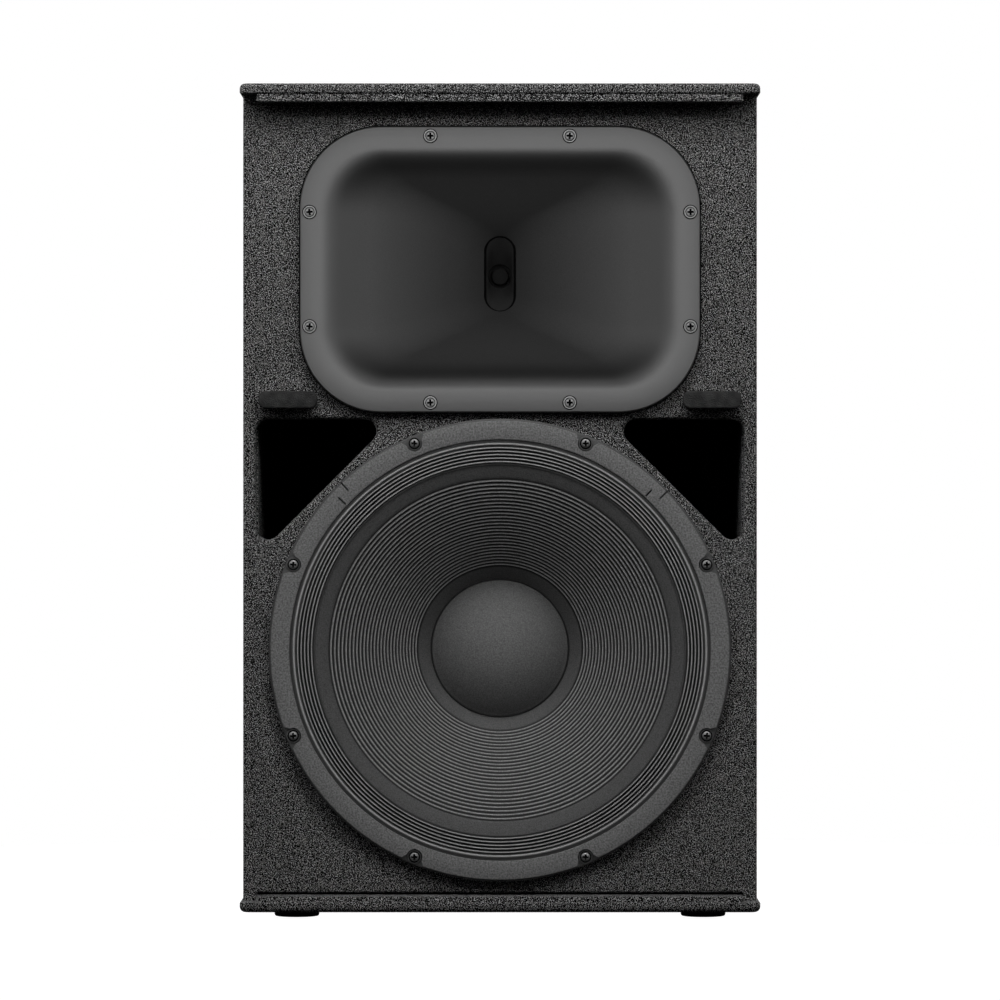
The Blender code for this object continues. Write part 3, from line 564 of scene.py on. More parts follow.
def make_walls():
    """Each side runs past the fold to the back panel as one wall, cut out for its handle."""
    plan = [(BODY_X, BAFFLE_HIGH.y + TOUCH), (BODY_X, TAPER_Y), (REAR_X, BACK_HIGH.y),
            (REAR_X - SLANT_WALL, BACK_HIGH.y), (INNER_X, INNER_TAPER_Y), (INNER_X, BAFFLE_HIGH.y + TOUCH)]
    shape = fillet(plan, [0.0004, 0.012, 0.0015, 0.0004, 0.004, 0.0004], 6)
    _, _, middle, a, b = seen("handle_cup_right", 1, 2)
    a, b, corner = a + TOUCH, b + TOUCH, HANDLE_CORNER + TOUCH
    seat = round_box(a, b, corner, middle)
    hole = round_box(a - HANDLE_RIM, b - HANDLE_RIM, corner + HANDLE_RIM, middle)
    for side, word in ((-1, "left"), (1, "right")):
        mesh = slab_mesh("wall", [(side * x, y) for x, y in shape], "XY", SIDE_LOW.z, SIDE_HIGH.z)
        wall = add(f"wall_{word}", mesh, PAINT)
        for outline, depth in ((seat, HANDLE_FLANGE + TOUCH), (hole, WALL + PAST)):
            span = sorted((side * (BODY_X - depth), side * (BODY_X + PAST)))
            cut(wall, slab_mesh("cutter", outline, "YZ", *span))
        finish(wall, "textured_paint", [f"side_panel_{word}", f"rear_side_{word}"])


def port_corners(side):
    """The port's triangle on the baffle, read from the shelf, the side panel and the sloping board."""
    top = SHELF_LOW.z - 0.0006
    total = BOARD_LOW.x + BOARD_HIGH.z + WALL * sqrt(2)
    wide = INNER_X + 0.0013
    corners = [(wide, total - wide), (wide, top), (total - top, top)]
    return [(side * x, z) for x, z in corners]


def opening_cutter(corners, corner, edge):
    """An opening through the baffle, with a round edge at the baffle's front."""
    rows = [(0.0, BAFFLE_HIGH.y + PAST)] + [(out, BAFFLE_Y + d) for out, d in reversed(quarter(edge, 6))]
    rows.append((edge, BAFFLE_Y - PAST))
    loops = []
    for out, y in rows:
        shape = fillet(inset(corners, -out), corner + out, 10)
        loops.append([(x, y, z) for x, z in shape])
    return skin_mesh("opening_cutter", loops)


def make_baffle():
    """The front board, with round outer edges, round port edges and the two drivers' cut-outs."""
    edge = 0.0036
    plan = [(-BODY_X, BAFFLE_HIGH.y), (-BODY_X, BAFFLE_Y), (BODY_X, BAFFLE_Y), (BODY_X, BAFFLE_HIGH.y)]
    shape = fillet(plan, [0.0003, edge, edge, 0.0003], 8)
    mesh = slab_mesh("front_baffle", shape, "XY", BAFFLE_LOW.z, BAFFLE_HIGH.z)
    baffle = add("front_baffle", mesh, PAINT)
    ahead, behind = BAFFLE_Y - PAST, BAFFLE_HIGH.y + PAST
    base_notch = (BAFFLE_LOW.z - PAST, BASE_HIGH.z - 0.0006, 0.0022)
    lid_notch = (LID_LOW.z - TOUCH, BAFFLE_HIGH.z + PAST, 0.0002)
    for low, high, round_by in (base_notch, lid_notch):
        corners = box_corners(INNER_X, (high - low) / 2, (0, (low + high) / 2))
        cut(baffle, opening_cutter(corners, 0.0003, round_by))
    mouth = round_box(0.1505, 0.1035, 0.050, (0, HORN_Z))
    cut(baffle, slab_mesh("mouth", mouth, "XZ", ahead, behind))
    woofer_hole = 0.177
    cut(baffle, rod_mesh("hole", woofer_hole, ahead, behind, (0, 0, WOOFER_Z), 128))
    port_corner, port_edge = 0.0102, 0.0045
    for side in (-1, 1):
        cut(baffle, opening_cutter(port_corners(side), port_corner, port_edge))
    finish(baffle, "textured_paint", ["baffle"], 40)


def make_back():
    """The back panel, cut out behind the connection plate."""
    wide, narrow = BACK_HIGH.x, REAR_X - SLANT_WALL - TOUCH
    plan = [(-wide, BACK_LOW.y), (wide, BACK_LOW.y), (narrow, BACK_HIGH.y), (-narrow, BACK_HIGH.y)]
    mesh = slab_mesh("rear_board", fillet(plan, 0.0004, 2), "XY", BACK_LOW.z, BACK_HIGH.z)
    back = add("rear_board", mesh, PAINT)
    _, _, middle, a, b = seen("input_plate")
    rim, corner = 0.010, 0.006
    hole = round_box(a - rim, b - rim, corner, middle)
    cut(back, slab_mesh("hole", hole, "XZ", BACK_LOW.y - PAST, BACK_HIGH.y + PAST))
    finish(back, "textured_paint", ["back_panel"])


# ---- screws
def cross_recess(head_y, size, depth):
    """A cross-shaped pit that narrows inwards, cut from the front of a head that faces -Y."""
    meshes = []
    for turn in (1, -1):
        loops = []
        for share, y in ((1.0, head_y - 0.001), (1.0, head_y), (0.45, head_y + depth)):
            arm = (size * share, size * 0.32 * (0.5 + 0.5 * share))
            loops.append([(x, y, z) for x, z in box_corners(*arm[::turn])])
        meshes.append(skin_mesh("recess", loops))
    return meshes


def screw_mesh(name, radius, height, shank, length, look, recess):
    """A round-headed cross-recess screw along +Y with its head's underside at the origin."""

    def surface(fall):
        """Height of the head's top, where fall goes from 1 in its middle to 0 at its rim."""
        return -height * (0.45 + 0.55 * fall ** 0.7)

    dome = [(radius * sin(pi / 2 * s), surface(cos(pi / 2 * s))) for s in shares(6)]
    tip = [(radius, 0), (shank, 0), (shank, length - shank), (0, length)]
    made = add(name, spin_mesh(name, dome + tip, 32), look)
    for mesh in cross_recess(-height, recess, height * 0.9):
        cut(made, mesh)
    reshade(made, 30)
    mesh = made.data

    def in_recess(spot):
        reach = min(hypot(spot.x, spot.z) / radius, 1)
        return reach < 0.95 and surface(sqrt(1 - reach ** 2)) + 0.00012 < spot.y < 0

    # the cross recess is painted matt black, painted shade
    paint_shade_black(mesh, in_recess)
    bpy.data.objects.remove(made)
    return mesh


def make_screws():
    """Zinc screws in cup washers hold the horn. Black ones hold the woofer, in the gasket's notches."""
    bright = screw_mesh("horn_screw", 0.0036, 0.0017, 0.0020, 0.022, ZINC, 0.0030)
    black = screw_mesh("woofer_screw", 0.0037, 0.0024, 0.0023, 0.024, DARK_ZINC, 0.0028)
    cup = [(0.0040, -0.0005), (0.0044, -0.0013), (0.0052, -0.0012), (0.0055, -0.0004), (0.0061, -0.0003),
           (0.0061, 0), (0.0023, 0), (0.0023, -0.0003), (0.0037, -0.0003)]
    washer = spin_mesh("cup_washer", cup, 40, sharp=50)
    washer.materials.append(ZINC)
    # the cup washer's inner step and outer edge are matt black, painted shade round the head and the washer
    paint_shade_black(washer, lambda spot: not 0.0041 < hypot(spot.x, spot.z) < 0.0053)
    collar = [(0.0024, -0.0004), (0.0046, -0.0004), (0.0048, -0.0012), (0.0058, -0.0010), (0.0061, 0),
              (0.0024, 0)]
    ring = spin_mesh("collar_washer", collar, 40, sharp=50)
    ring.materials.append(CAST)
    # the collar's inner ring is matt black, painted shade between head and washer
    paint_shade_black(ring, lambda spot: hypot(spot.x, spot.z) <= 0.0047)
    # group, meshes, seat, how far heads sink in, slot, and three numbers that turn the recesses
    kinds = (("horn", bright, washer, HORN_Y - TOUCH / 3, 0.0006, "bright_steel", 37, 17, 8),
             ("woofer", black, ring, GASKET_HIGH.y, 0.0008, "black_steel", 29, 13, 6))
    for number in range(1, 9):
        for word, screw, collar, seat, sunk, slot, step, turns, less in kinds:
            node = f"{word}_screw_{number}"
            x, z = middle_of(node)
            turn = (0, radians(step * number % turns - less), 0)
            copy_of(screw, f"{word}_fixing_{number}", (x, seat - sunk, z), slot, [node], turn)
            copy_of(collar, f"{word}_washer_{number}", (x, seat, z), slot)


# ---- horn
def horn_loop(a, b, corner, depth):
    return [(x, HORN_Y + depth, z) for x, z in round_box(a, b, corner, (0, HORN_Z), steps=14, along=9)]


def make_horn():
    """A flat flange, a soft lead-in, a bell that flares from a tall slot, and a round throat."""
    flange_a, flange_b = HORN_HIGH.x, (HORN_HIGH.z - HORN_LOW.z) / 2
    flange, corner, edge = BAFFLE_Y - TOUCH - HORN_Y, 0.068, 0.0014  # thickness, corner and front edge
    slot_a, slot_b, slot_d = 0.01365, 0.03215, 0.090
    exit_r, exit_d = 0.0104, HORN_HIGH.y - HORN_Y
    mouth_a, mouth_b = 0.1535, 0.1026  # where the soft lead-in starts

    def side(d, mouth, slot, lead, tilt, power):
        """Half size at a depth: the lead-in's arc, and then a flare that ends at the slot."""
        turn_d = lead * (1 - cos(tilt))
        if d <= turn_d:
            return mouth - lead * sin(acos(1 - d / lead))
        turned = mouth - lead * sin(tilt)
        share = 1 - (d - turn_d) / (slot_d - turn_d)
        return slot + (turned - slot) * 0.5 * (share + share ** power)

    def bell(d, wall=0.0):
        a = side(d, mouth_a, slot_a, 0.042, radians(25), 1.9) + wall
        b = side(d, mouth_b, slot_b, 0.024, radians(48), 1.76) + wall
        rounding = 0.51 - 0.15 * min(d / 0.025, 1) + 0.64 * (d / slot_d) ** 4
        return a, b, min(a, b) * rounding, d

    dense = 0.009
    depths = [dense * share ** 2 for share in shares(14)]
    depths += [dense + (slot_d - dense) * share for share in shares(30)[1:]]
    loops = [horn_loop(flange_a - i, flange_b - i, corner - i, d) for i, d in reversed(quarter(edge))]
    loops += [horn_loop(*bell(d)) for d in depths]
    inner_a, inner_b, inner_d = slot_a - 0.0021, slot_b - 0.0009, slot_d + 0.006
    for mix in shares(8):
        a, b = inner_a + (exit_r - inner_a) * mix, inner_b + (exit_r - inner_b) * mix
        loops.append(horn_loop(a, b, a - 0.0001, inner_d + (exit_d - inner_d) * mix))
    rim, wall = 0.045, 0.004
    loops += [horn_loop(rim, rim, rim, exit_d), horn_loop(rim, rim, rim, exit_d - 0.007)]
    loops.append(horn_loop(slot_a + wall, 0.024, slot_a, exit_d - 0.007))
    start = flange + 0.001
    loops += [horn_loop(*bell(start + (slot_d - start) * share, wall)) for share in shares(8)[:0:-1]]
    a, b, c, d = bell(start, wall)
    loops += [horn_loop(a, b, c, d), horn_loop(a, b, c, flange)]
    loops.append(horn_loop(flange_a, flange_b, corner, flange))
    mesh = skin_mesh("horn", loops, "ring", 16)
    # the depth goes to the horn's colour, which darkens inwards as painted shade
    mark_crests(mesh, [(v.co.y - HORN_Y) / exit_d for v in mesh.vertices])
    piece("horn_moulding", mesh, HORN_PLASTIC, "horn_plastic", ["horn"])

    def behind_slot(spot):
        past = spot.y - HORN_Y - slot_d
        return 0.0001 < past < inner_d - slot_d and abs(spot.x) < slot_a and abs(spot.z - HORN_Z) < slot_b

    # the slot's steep inner walls are matt black, painted shade
    paint_shade_black(mesh, behind_slot)
    shadow_width, near, far = 0.0011, flange - 0.0005, flange  # a matt black ring under the flange's edge, painted shadow that shows as a dark line round it
    section = ((shadow_width, near), (shadow_width, far), (0.0001, far), (0.0001, near))
    loops = [horn_loop(flange_a + out, flange_b + out, corner + out, d) for out, d in section]
    piece("horn_shadow_ring", skin_mesh("horn_shadow_ring", loops, "ring"), BLACK_STAIN_AND_SHADE, "gasket")


def make_driver():
    """The compression driver behind the horn. Its phase plug shows at the end of the throat."""
    low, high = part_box("hf_front_plate")
    face, rim = low.y, high.x
    bore, pole = 0.0127, 0.0205
    profile = [(0, 0.0020), (0.0058, 0.0021), (0.0068, 0.0024), (0.0074, 0.0034), (0.0078, 0.0140),
               (bore + 0.001, 0.0140), (bore, 0.0006), (bore + 0.0006, 0), (rim - 0.001, 0), (rim, 0.001),
               (rim, 0.0067), (pole, 0.0067), (pole, high.y - face), (0, high.y - face)]
    mesh = spin_mesh("throat_plate", profile, 64, centre=(0, face, HORN_Z))
    piece("throat_plate", mesh, DRIVER_BLACK, "black_steel", ["hf_front_plate"])


# ---- woofer
CONE_RIM, CONE_NECK, CONE_INNER = CONE_HIGH.x, 0.0395, 0.039
CONE_TOP = CONE_LOW.y - GASKET_Y  # depth of the cone's rim behind the gasket's face
CONE_DROP, CONE_CURVE = 0.090, 1.45
CAP_R = CAP_HIGH.x
CLOTH_THICK = 0.0006


def cone_depth(r):
    """Depth of the cone's front behind the gasket's face: shallow at the rim and steep at the neck."""
    share = max((CONE_RIM - r) / (CONE_RIM - CONE_INNER), 0.0)
    return CONE_TOP + CONE_DROP * share ** CONE_CURVE


def woofer_spin(name, profile, segments=192, sharp=35):
    """A turned woofer piece. The profile's depths count back from the gasket's face."""
    return spin_mesh(name, profile, segments, sharp=sharp, centre=(0, GASKET_Y, WOOFER_Z))


def rib_profile():
    """The cone's front: a plain rim, fine ribs at an even pitch along the slope, and a plain neck."""
    rib_out, rib_in, count, rise, points = 0.1433, 0.0700, 26, 0.0009, 10
    radii = [rib_out + (rib_in - rib_out) * share for share in shares(400)]
    lengths = [0.0]
    for a, b in zip(radii, radii[1:]):
        lengths.append(lengths[-1] + hypot(b - a, cone_depth(b) - cone_depth(a)))
    total = lengths[-1]
    profile = [(r, cone_depth(r), 0.5) for r in np.linspace(CONE_RIM, rib_out + 0.0006, 8)]
    for share in shares(count * points):
        r = float(np.interp(total * share, lengths, radii))
        slope = (cone_depth(r - 1e-4) - cone_depth(r + 1e-4)) / 2e-4
        tilt = 1 / hypot(1, slope)
        # the crest value also goes to the cone's colour, as painted highlight on the crests and painted shade
        # in the grooves
        crest = (0.5 - 0.5 * cos(2 * pi * count * share)) ** 1.2
        height = rise * (crest - 0.4)
        profile.append((r - height * slope * tilt, cone_depth(r) - height * tilt, crest))
    profile += [(r, cone_depth(r), 0.52) for r in np.linspace(rib_in - 0.0012, CONE_NECK, 12)]
    return profile


def make_cone():
    """The ribbed paper cone, and the dust cap on its neck, which is a shallow part of a ball."""
    segments = 224
    front = rib_profile()
    back = [(r, cone_depth(r) + 0.0014, 0.3) for r in np.linspace(CONE_NECK, CONE_RIM, 20)]
    mesh = woofer_spin("paper_cone", [(float(r), float(d)) for r, d, _ in front + back], segments, 60)
    mark_crests(mesh, np.repeat([c for _, _, c in front + back], segments))
    piece("paper_cone", mesh, PAPER_WITH_PAINTED_RIB_LIGHT, "cone_paper", ["woofer_cone"], CONE)
    rim = cone_depth(CAP_R) - 0.0006
    brim, rise = CAP_R - 0.0016, rim - (CAP_LOW.y - GASKET_Y)
    ball = (brim ** 2 + rise ** 2) / (2 * rise)
    dome = [(brim * s, rim - rise + ball - sqrt(ball ** 2 - (brim * s) ** 2)) for s in shares(24)]
    lip = [(brim + 0.0003, rim + 0.0001), (brim + 0.0009, rim - 0.0006), (CAP_R - 0.0002, rim - 0.0004),
           (CAP_R, rim)]
    inside = [(r - 0.0006, d + 0.0006) for r, d in reversed(dome[1:])] + [(0, dome[0][1] + 0.0006)]
    mesh = woofer_spin("dust_cap_dome", dome + lip + inside, 160, 40)
    # the cap's colour follows this value: painted shadow at the rim, painted highlight towards the middle
    mark_crests(mesh, [1 - hypot(v.co.x, v.co.z - WOOFER_Z) / CAP_R for v in mesh.vertices])
    piece("dust_cap_dome", mesh, CAP_PAPER, "cone_paper", ["woofer_dust_cap"], CONE)


def surround_line():
    """The doped cloth edge from the cone's rim: rolls with narrow grooves, then two glued steps."""
    roll_in, roll_out, rolls, points = 0.1563, 0.1708, 5, 12
    top, bottom, seat = 0.0016, 0.0046, 0.0026
    line = [(0.1545, cone_depth(0.1545) - 0.0005, 0.4), (0.1556, cone_depth(0.1556) - 0.0007, 0.4)]
    for share in shares(rolls * points):
        crest = abs(sin(pi * rolls * share)) ** 0.7
        # crest ** 2.8 goes to the cloth's colour: painted highlight on each roll's crest, painted shade in
        # its grooves
        line.append((roll_in + (roll_out - roll_in) * share, bottom + (top - bottom) * crest, crest ** 2.8))
    # the third numbers are the steps' colour: painted highlight where they bulge forwards
    steps = [(0.1712, 0.0008, 0.4), (0.1718, 0, 0.7), (0.1724, -0.0006, 1), (0.1731, -0.0006, 1),
             (0.1736, 0, 0.7), (0.1743, 0.0003, 0.5), (0.1752, 0.0004, 0.5), (0.1759, 0.0006, 0.4),
             (0.1770, 0.0006, 0.3)]
    return line + [(r, seat + d, c) for r, d, c in steps]


def bridge(made, node):
    """A cloth ring from frame to cone: its transform goes into its mesh, and its CAD node is hidden."""
    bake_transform(made)
    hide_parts(node)


def make_surround():
    segments, line = 224, surround_line()
    profile = line + [(r, d + CLOTH_THICK, 0.3) for r, d, _ in reversed(line)]
    mesh = woofer_spin("cloth_surround", [(r, d) for r, d, _ in profile], segments, 60)
    mark_crests(mesh, np.repeat([c for _, _, c in profile], segments))
    bridge(add("cloth_surround", mesh, CLOTH_WITH_PAINTED_ROLL_LIGHT), "woofer_surround")


def make_spider():
    """The corrugated disc round the voice coil."""
    low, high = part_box("woofer_spider")
    seat = (low.y + high.y) / 2 - GASKET_Y - CLOTH_THICK
    inner, roll_in, outer, rolls, wave = 0.0393, 0.0433, 0.078, 6, 0.0017
    line = [(inner, seat), (roll_in, seat)]
    for share in shares(rolls * 10):
        line.append((roll_in + (outer - roll_in) * share, seat + wave * sin(2 * pi * rolls * share)))
    line += [(high.x - 0.001, seat), (high.x, seat)]
    mesh = woofer_spin("spider_disc", line + [(r, d + CLOTH_THICK) for r, d in reversed(line)], 96, 60)
    bridge(add("spider_disc", mesh, SPIDER_CLOTH), "woofer_spider")


def bar(near, far, half):
    """Corners of a shape from near to far that is half wide to each side."""
    return ((near, -half), (far, -half), (far, half), (near, half))


def turned_slab(shape, degrees, centre, ahead, behind):
    """A cutter along Y whose outline is turned about the centre."""
    turn = Matrix.Rotation(radians(degrees), 2)
    points = [turn @ Vector(p) for p in shape]
    outline = [(centre[0] + p.x, centre[1] + p.y) for p in points]
    return slab_mesh("turned_slab", outline, "XZ", ahead, behind)


# angle, inner and outer radius of the slits at the gasket's locked end joints
SLITS = ((133.5, 0.184, 0.1935), (136.6, 0.1775, 0.1862), (46.6, 0.1775, 0.1845), (43.5, 0.1843, 0.1935))


def slits(ahead, behind):
    centre, half = (0, WOOFER_Z), 0.0007
    return [turned_slab(bar(near, far, half), angle, centre, ahead, behind) for angle, near, far in SLITS]


def make_frame_ring():
    """The die-cast frame: a flat rim with a round edge, and a basket with eight windows."""
    rim, front = RING_HIGH.x, RING_LOW.y - GASKET_Y
    back = BAFFLE_Y - TOUCH - GASKET_Y
    profile = [(rim - i, front + d) for i, d in quarter(0.0016)]
    profile += [(rim, back), (0.176, back), (0.1755, 0.032), (0.114, 0.104), (0.104, 0.1117),
                (0.048, 0.1117), (0.048, 0.1075), (0.079, 0.1075), (0.079, 0.0985), (0.110, 0.0985),
                (0.1705, 0.031), (0.1705, front)]
    ring = add("cast_frame", woofer_spin("cast_frame", profile, 160), CAST)
    corners = [(r * cos(a), r * sin(a)) for r, a in bar(0.120, 0.195, radians(14))]
    window = fillet(corners, 0.008, 3)
    reach = (GASKET_Y + 0.042, GASKET_Y + 0.090)
    tools = [turned_slab(window, 45 * k, (0, WOOFER_Z), *reach) for k in range(8)]
    cut(ring, joined("windows", tools + slits(GASKET_Y - 0.002, GASKET_HIGH.y + 0.004)))
    finish(ring, "cast_frame", ["woofer_frame"])


def make_gasket():
    """The sheet on the frame's rim, notched round each screw and slit where its ends lock together."""
    outer, thick = GASKET_HIGH.x, GASKET_HIGH.y - GASKET_Y
    inner, edge = 0.1763, 0.0006
    profile = [(outer - i, d) for i, d in quarter(edge, 3)] + [(outer, thick), (inner, thick)]
    profile += [(inner + i, d) for i, d in reversed(quarter(edge, 3))]
    gasket = add("gasket_sheet", woofer_spin("gasket_sheet", profile, 192), GASKET)
    bolt, notch = 0.1873, 0.0068
    ahead, behind = GASKET_Y - 0.002, GASKET_HIGH.y + 0.001
    wide = 1.45 * notch
    flare = ((0.0005, notch), (0.0045, wide), (0.012, wide))
    shape = [(bolt + out, -across) for out, across in flare]
    shape += [(bolt + out, across) for out, across in reversed(flare)]
    shape += [(bolt - notch * cos(a), notch * sin(a)) for a in (radians(15 * i) for i in range(5, -6, -1))]
    tools = [turned_slab(shape, 22.5 + 45 * k, (0, WOOFER_Z), ahead, behind) for k in range(8)]
    cut(gasket, joined("notches", tools + slits(ahead, behind)))
    finish(gasket, "gasket", ["woofer_gasket"])


# ---- small parts of the cabinet
def make_pads():
    """Soft pads that hold the middle of the grille off the baffle."""
    for word in ("left", "right"):
        node = f"grille_pad_{word}"
        low, high, middle, a, b = seen(node)
        outline = round_box(a, b, 0.0062, middle, along=12)
        levels = [(0.0, high.y)] + [(i, low.y + d) for i, d in reversed(quarter(0.0016, 4))]
        loops = [[(x, y, z) for x, z in inset(outline, i)] for i, y in levels]
        made = piece(f"foam_pad_{word}", skin_mesh("foam_pad", loops), FOAM, "pad_foam", [node])


def make_feet():
    """Round rubber feet with a recessed washer and screw."""
    low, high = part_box("foot_front_left")
    r, h = (high.x - low.x) / 2, high.z - low.z
    profile = [(0, 0.0022), (0.0075, 0.0022), (0.0080, 0.0018), (0.0085, 0)]
    profile += [(r - i, d) for i, d in quarter(0.0018)] + [(r, h), (0, h)]
    foot = spin_mesh("rubber_foot", profile, 56, "Z")
    foot.materials.append(SHADED_FOOT_RUBBER)
    profile = [(0, 0.0008), (0.003, 0.0009), (0.0042, 0.0016), (0.0042, 0.0021), (0, 0.0021)]
    head = spin_mesh("foot_screw", profile, 32, "Z")
    head.materials.append(ZINC)
    for word in ("front_left", "front_right", "rear_left", "rear_right"):
        node = f"foot_{word}"
        x, y = middle_of(node, 0, 1)
        copy_of(foot, f"rubber_foot_{word}", (x, y, 0), "black_rubber", [node])
        copy_of(head, f"foot_screw_{word}", (x, y, 0), "bright_steel")


def make_handles():
    """Moulded cups let into the walls, each with a rubber-covered bar across it and six screws."""
    wall, draft, edge, lip, bottom = 0.004, 0.004, 0.0012, 0.003, 0.010
    grooves, groove_depth = 22, 0.0006
    for side, word in ((-1, "left"), (1, "right")):
        node = f"handle_cup_{word}"
        low, high, middle, a, b = seen(node, 1, 2)
        face, floor = (high.x, low.x) if side > 0 else (low.x, high.x)
        corner = HANDLE_CORNER

        def ring(half_a, half_b, round_by, depth):
            outline = round_box(half_a, half_b, round_by, middle, along=6)
            return [(face - side * depth, y, z) for y, z in outline]

        cup_a, cup_b = a - HANDLE_RIM, b - HANDLE_RIM
        inner_a, inner_b = cup_a - wall, cup_b - wall
        loops = []
        for i, up in quarter(bottom, 5):
            depth = abs(face - floor) - wall - up
            loops.append(ring(inner_a - draft - i, inner_b - draft - i, 0.018 - 0.4 * i, depth))
        for i, d in reversed(quarter(lip)):
            loops.append(ring(inner_a + lip - i, inner_b + lip - i, 0.024 - i, d))
        loops += [ring(a - i, b - i, corner - i, d) for i, d in quarter(edge, 3)]
        loops += [ring(a, b, corner, HANDLE_FLANGE), ring(cup_a, cup_b, corner + HANDLE_RIM, HANDLE_FLANGE)]
        loops.append(ring(cup_a - 2 * draft, cup_b - 2 * draft, 0.022, abs(face - floor)))
        piece(f"handle_well_{word}", skin_mesh("handle_well", loops), HANDLE, "handle_plastic", [node])
        node = f"handle_bar_{word}"
        low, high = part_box(node)
        r, half = (high.x - low.x) / 2, (high.y - low.y) / 2
        end = [(0, 1), (0.8, 1), (0.8, 0.86), (0.86, 0.85)]
        profile = [(r * u, -half * v) for u, v in end]
        for share in shares(grooves * 6):
            wave = (0.5 + 0.5 * cos(2 * pi * grooves * share)) ** 2
            profile.append((r - groove_depth * wave, half * 0.83 * (2 * share - 1)))
        profile += [(r * u, half * v) for u, v in reversed(end)]
        mesh = spin_mesh("grip", profile, 40, centre=tuple((low + high) / 2))
        piece(f"handle_grip_{word}", mesh, RUBBER, "black_rubber", [node])
        head = screw_mesh("handle_screw", 0.0032, 0.0016, 0.0016, 0.004, DARK_ZINC, 0.0018)
        y, z = middle
        dy, dz = a - 0.0055, b - 0.0055
        spots = [(face, y + u * dy, z + v * dz) for u in (-1, 0, 1) for v in (-1, 1)]
        black_screws(head, f"handle_screw_{word}", spots, pi - side * pi / 2)


def make_pole_socket():
    """The steel cup for a stand pole, with its flange let into the bottom panel."""
    low, high, (x, y), rim, _ = seen("pole_socket", 0, 1)
    bore, tube, edge, lead, wall, deep = 0.0178, 0.0205, 0.0010, 0.0016, 0.003, high.z - low.z
    profile = [(0, deep), (tube, deep), (tube, wall), (rim, wall), (rim, edge), (rim - edge, 0),
               (bore + lead, 0), (bore, lead), (bore, deep - wall), (0, deep - wall)]
    mesh = spin_mesh("pole_cup", profile, 64, "Z", centre=(x, y, low.z))
    piece("pole_cup", mesh, BLACK_STEEL, "black_steel", ["pole_socket"])


def make_rear():
    """The connection plate with two sockets, a switch knob and its screws."""
    low, high, (x, z), a, b = seen("input_plate")
    outline = round_box(a, b, 0.006, (x, z))
    mesh = slab_mesh("connection_plate", outline, "XZ", low.y, high.y, 0.0006)
    plate = add("connection_plate", mesh, BLACK_STEEL)
    tools = []
    holes = (("socket_input", 0.0123, 48), ("socket_link", 0.0123, 48), ("mode_knob", 0.0033, 24))
    for node, radius, segments in holes:
        u, v = middle_of(node)
        tools.append(rod_mesh("hole", radius, -PAST, PAST, (u, low.y, v), segments))
    cut(plate, joined("holes", tools))
    finish(plate, "black_steel", ["input_plate"])
    head = screw_mesh("plate_screw", 0.0034, 0.0018, 0.0016, 0.006, DARK_ZINC, 0.0019)
    dx, dz = a - 0.007, b - 0.007
    spots = [(x + u * dx, high.y, z + v * dz) for u in (-1, 1) for v in (-1, 1)]
    black_screws(head, "plate_screw", spots, pi)
    make_socket("socket_input")
    make_socket("socket_link")
    make_knob()


def make_socket(node):
    """A four-pole socket: a flange, a round well with four contact slots and a key post."""
    low, high, (x, z), a, b = seen(node)
    flange, well_floor, post, well = high.y - 0.0022, high.y - 0.0152, 0.0052, 0.0105
    mesh = slab_mesh(node, round_box(a, b, 0.003, (x, z)), "XZ", flange, high.y, 0.0006)
    made = add(f"loudspeaker_{node}", mesh, MOULDED)
    cut(made, rod_mesh("body", 0.012, low.y, flange + 0.0008, (x, 0, z)), "UNION")
    profile = [(post, well_floor), (well, well_floor), (well, high.y - 0.0008),
               (well + 0.0009, high.y + 0.0001), (well + 0.0009, high.y + 0.002), (post, high.y + 0.002)]
    cut(made, spin_mesh("well", profile, 48, centre=(x, 0, z)))
    contact, reach = bar(post - 0.0008, post + 0.0010, 0.0011), (flange - 0.011, high.y + 0.004)
    tools = [turned_slab(contact, 45 + 90 * k, (x, z), *reach) for k in range(4)]
    cut(made, joined("contacts", tools))
    finish(made, "moulded_plastic", [node])
    head = screw_mesh("socket_screw", 0.0021, 0.0011, 0.0011, 0.003, DARK_ZINC, 0.0012)
    spots = [(x + u * (a - 0.003), high.y, z - u * (b - 0.003)) for u in (-1, 1)]
    black_screws(head, f"{node}_screw", spots, pi)


def make_knob():
    """The mode switch's knob, fluted, with a white pointer line."""
    low, high, (x, z), r, _ = seen("mode_knob")
    length, flutes, flute_depth = 0.012, 18, 0.0005
    face = high.y - length
    loops = []
    rows = [(0.0, 0.0006), (0.0004, 0.0), (length - 0.0012, 0.0), (length - 0.0004, 0.0005), (length, 0.0014)]
    for along, shrink in rows:
        loop = []
        for t in (2 * pi * k / (flutes * 8) for k in range(flutes * 8)):
            radius = r - shrink - flute_depth * (0.5 + 0.5 * cos(flutes * t)) ** 2
            loop.append((x + radius * cos(t), face + along, z + radius * sin(t)))
        loops.append(loop)
    piece("switch_knob", skin_mesh("switch_knob", loops), MOULDED, "moulded_plastic", ["mode_knob"], KNOB)
    mesh = rod_mesh("switch_shaft", 0.003, low.y, face, (x, 0, z), 24)
    piece("switch_shaft", mesh, ZINC, "bright_steel", (), KNOB)
    line = round_box(0.0006, 0.0032, 0.0005, (x, z + 0.0042), steps=3)
    mesh = slab_mesh("switch_pointer", line, "XZ", high.y - 0.0003, high.y + 0.0002)
    piece("switch_pointer", mesh, POINTER_WHITE, "moulded_plastic", (), KNOB)


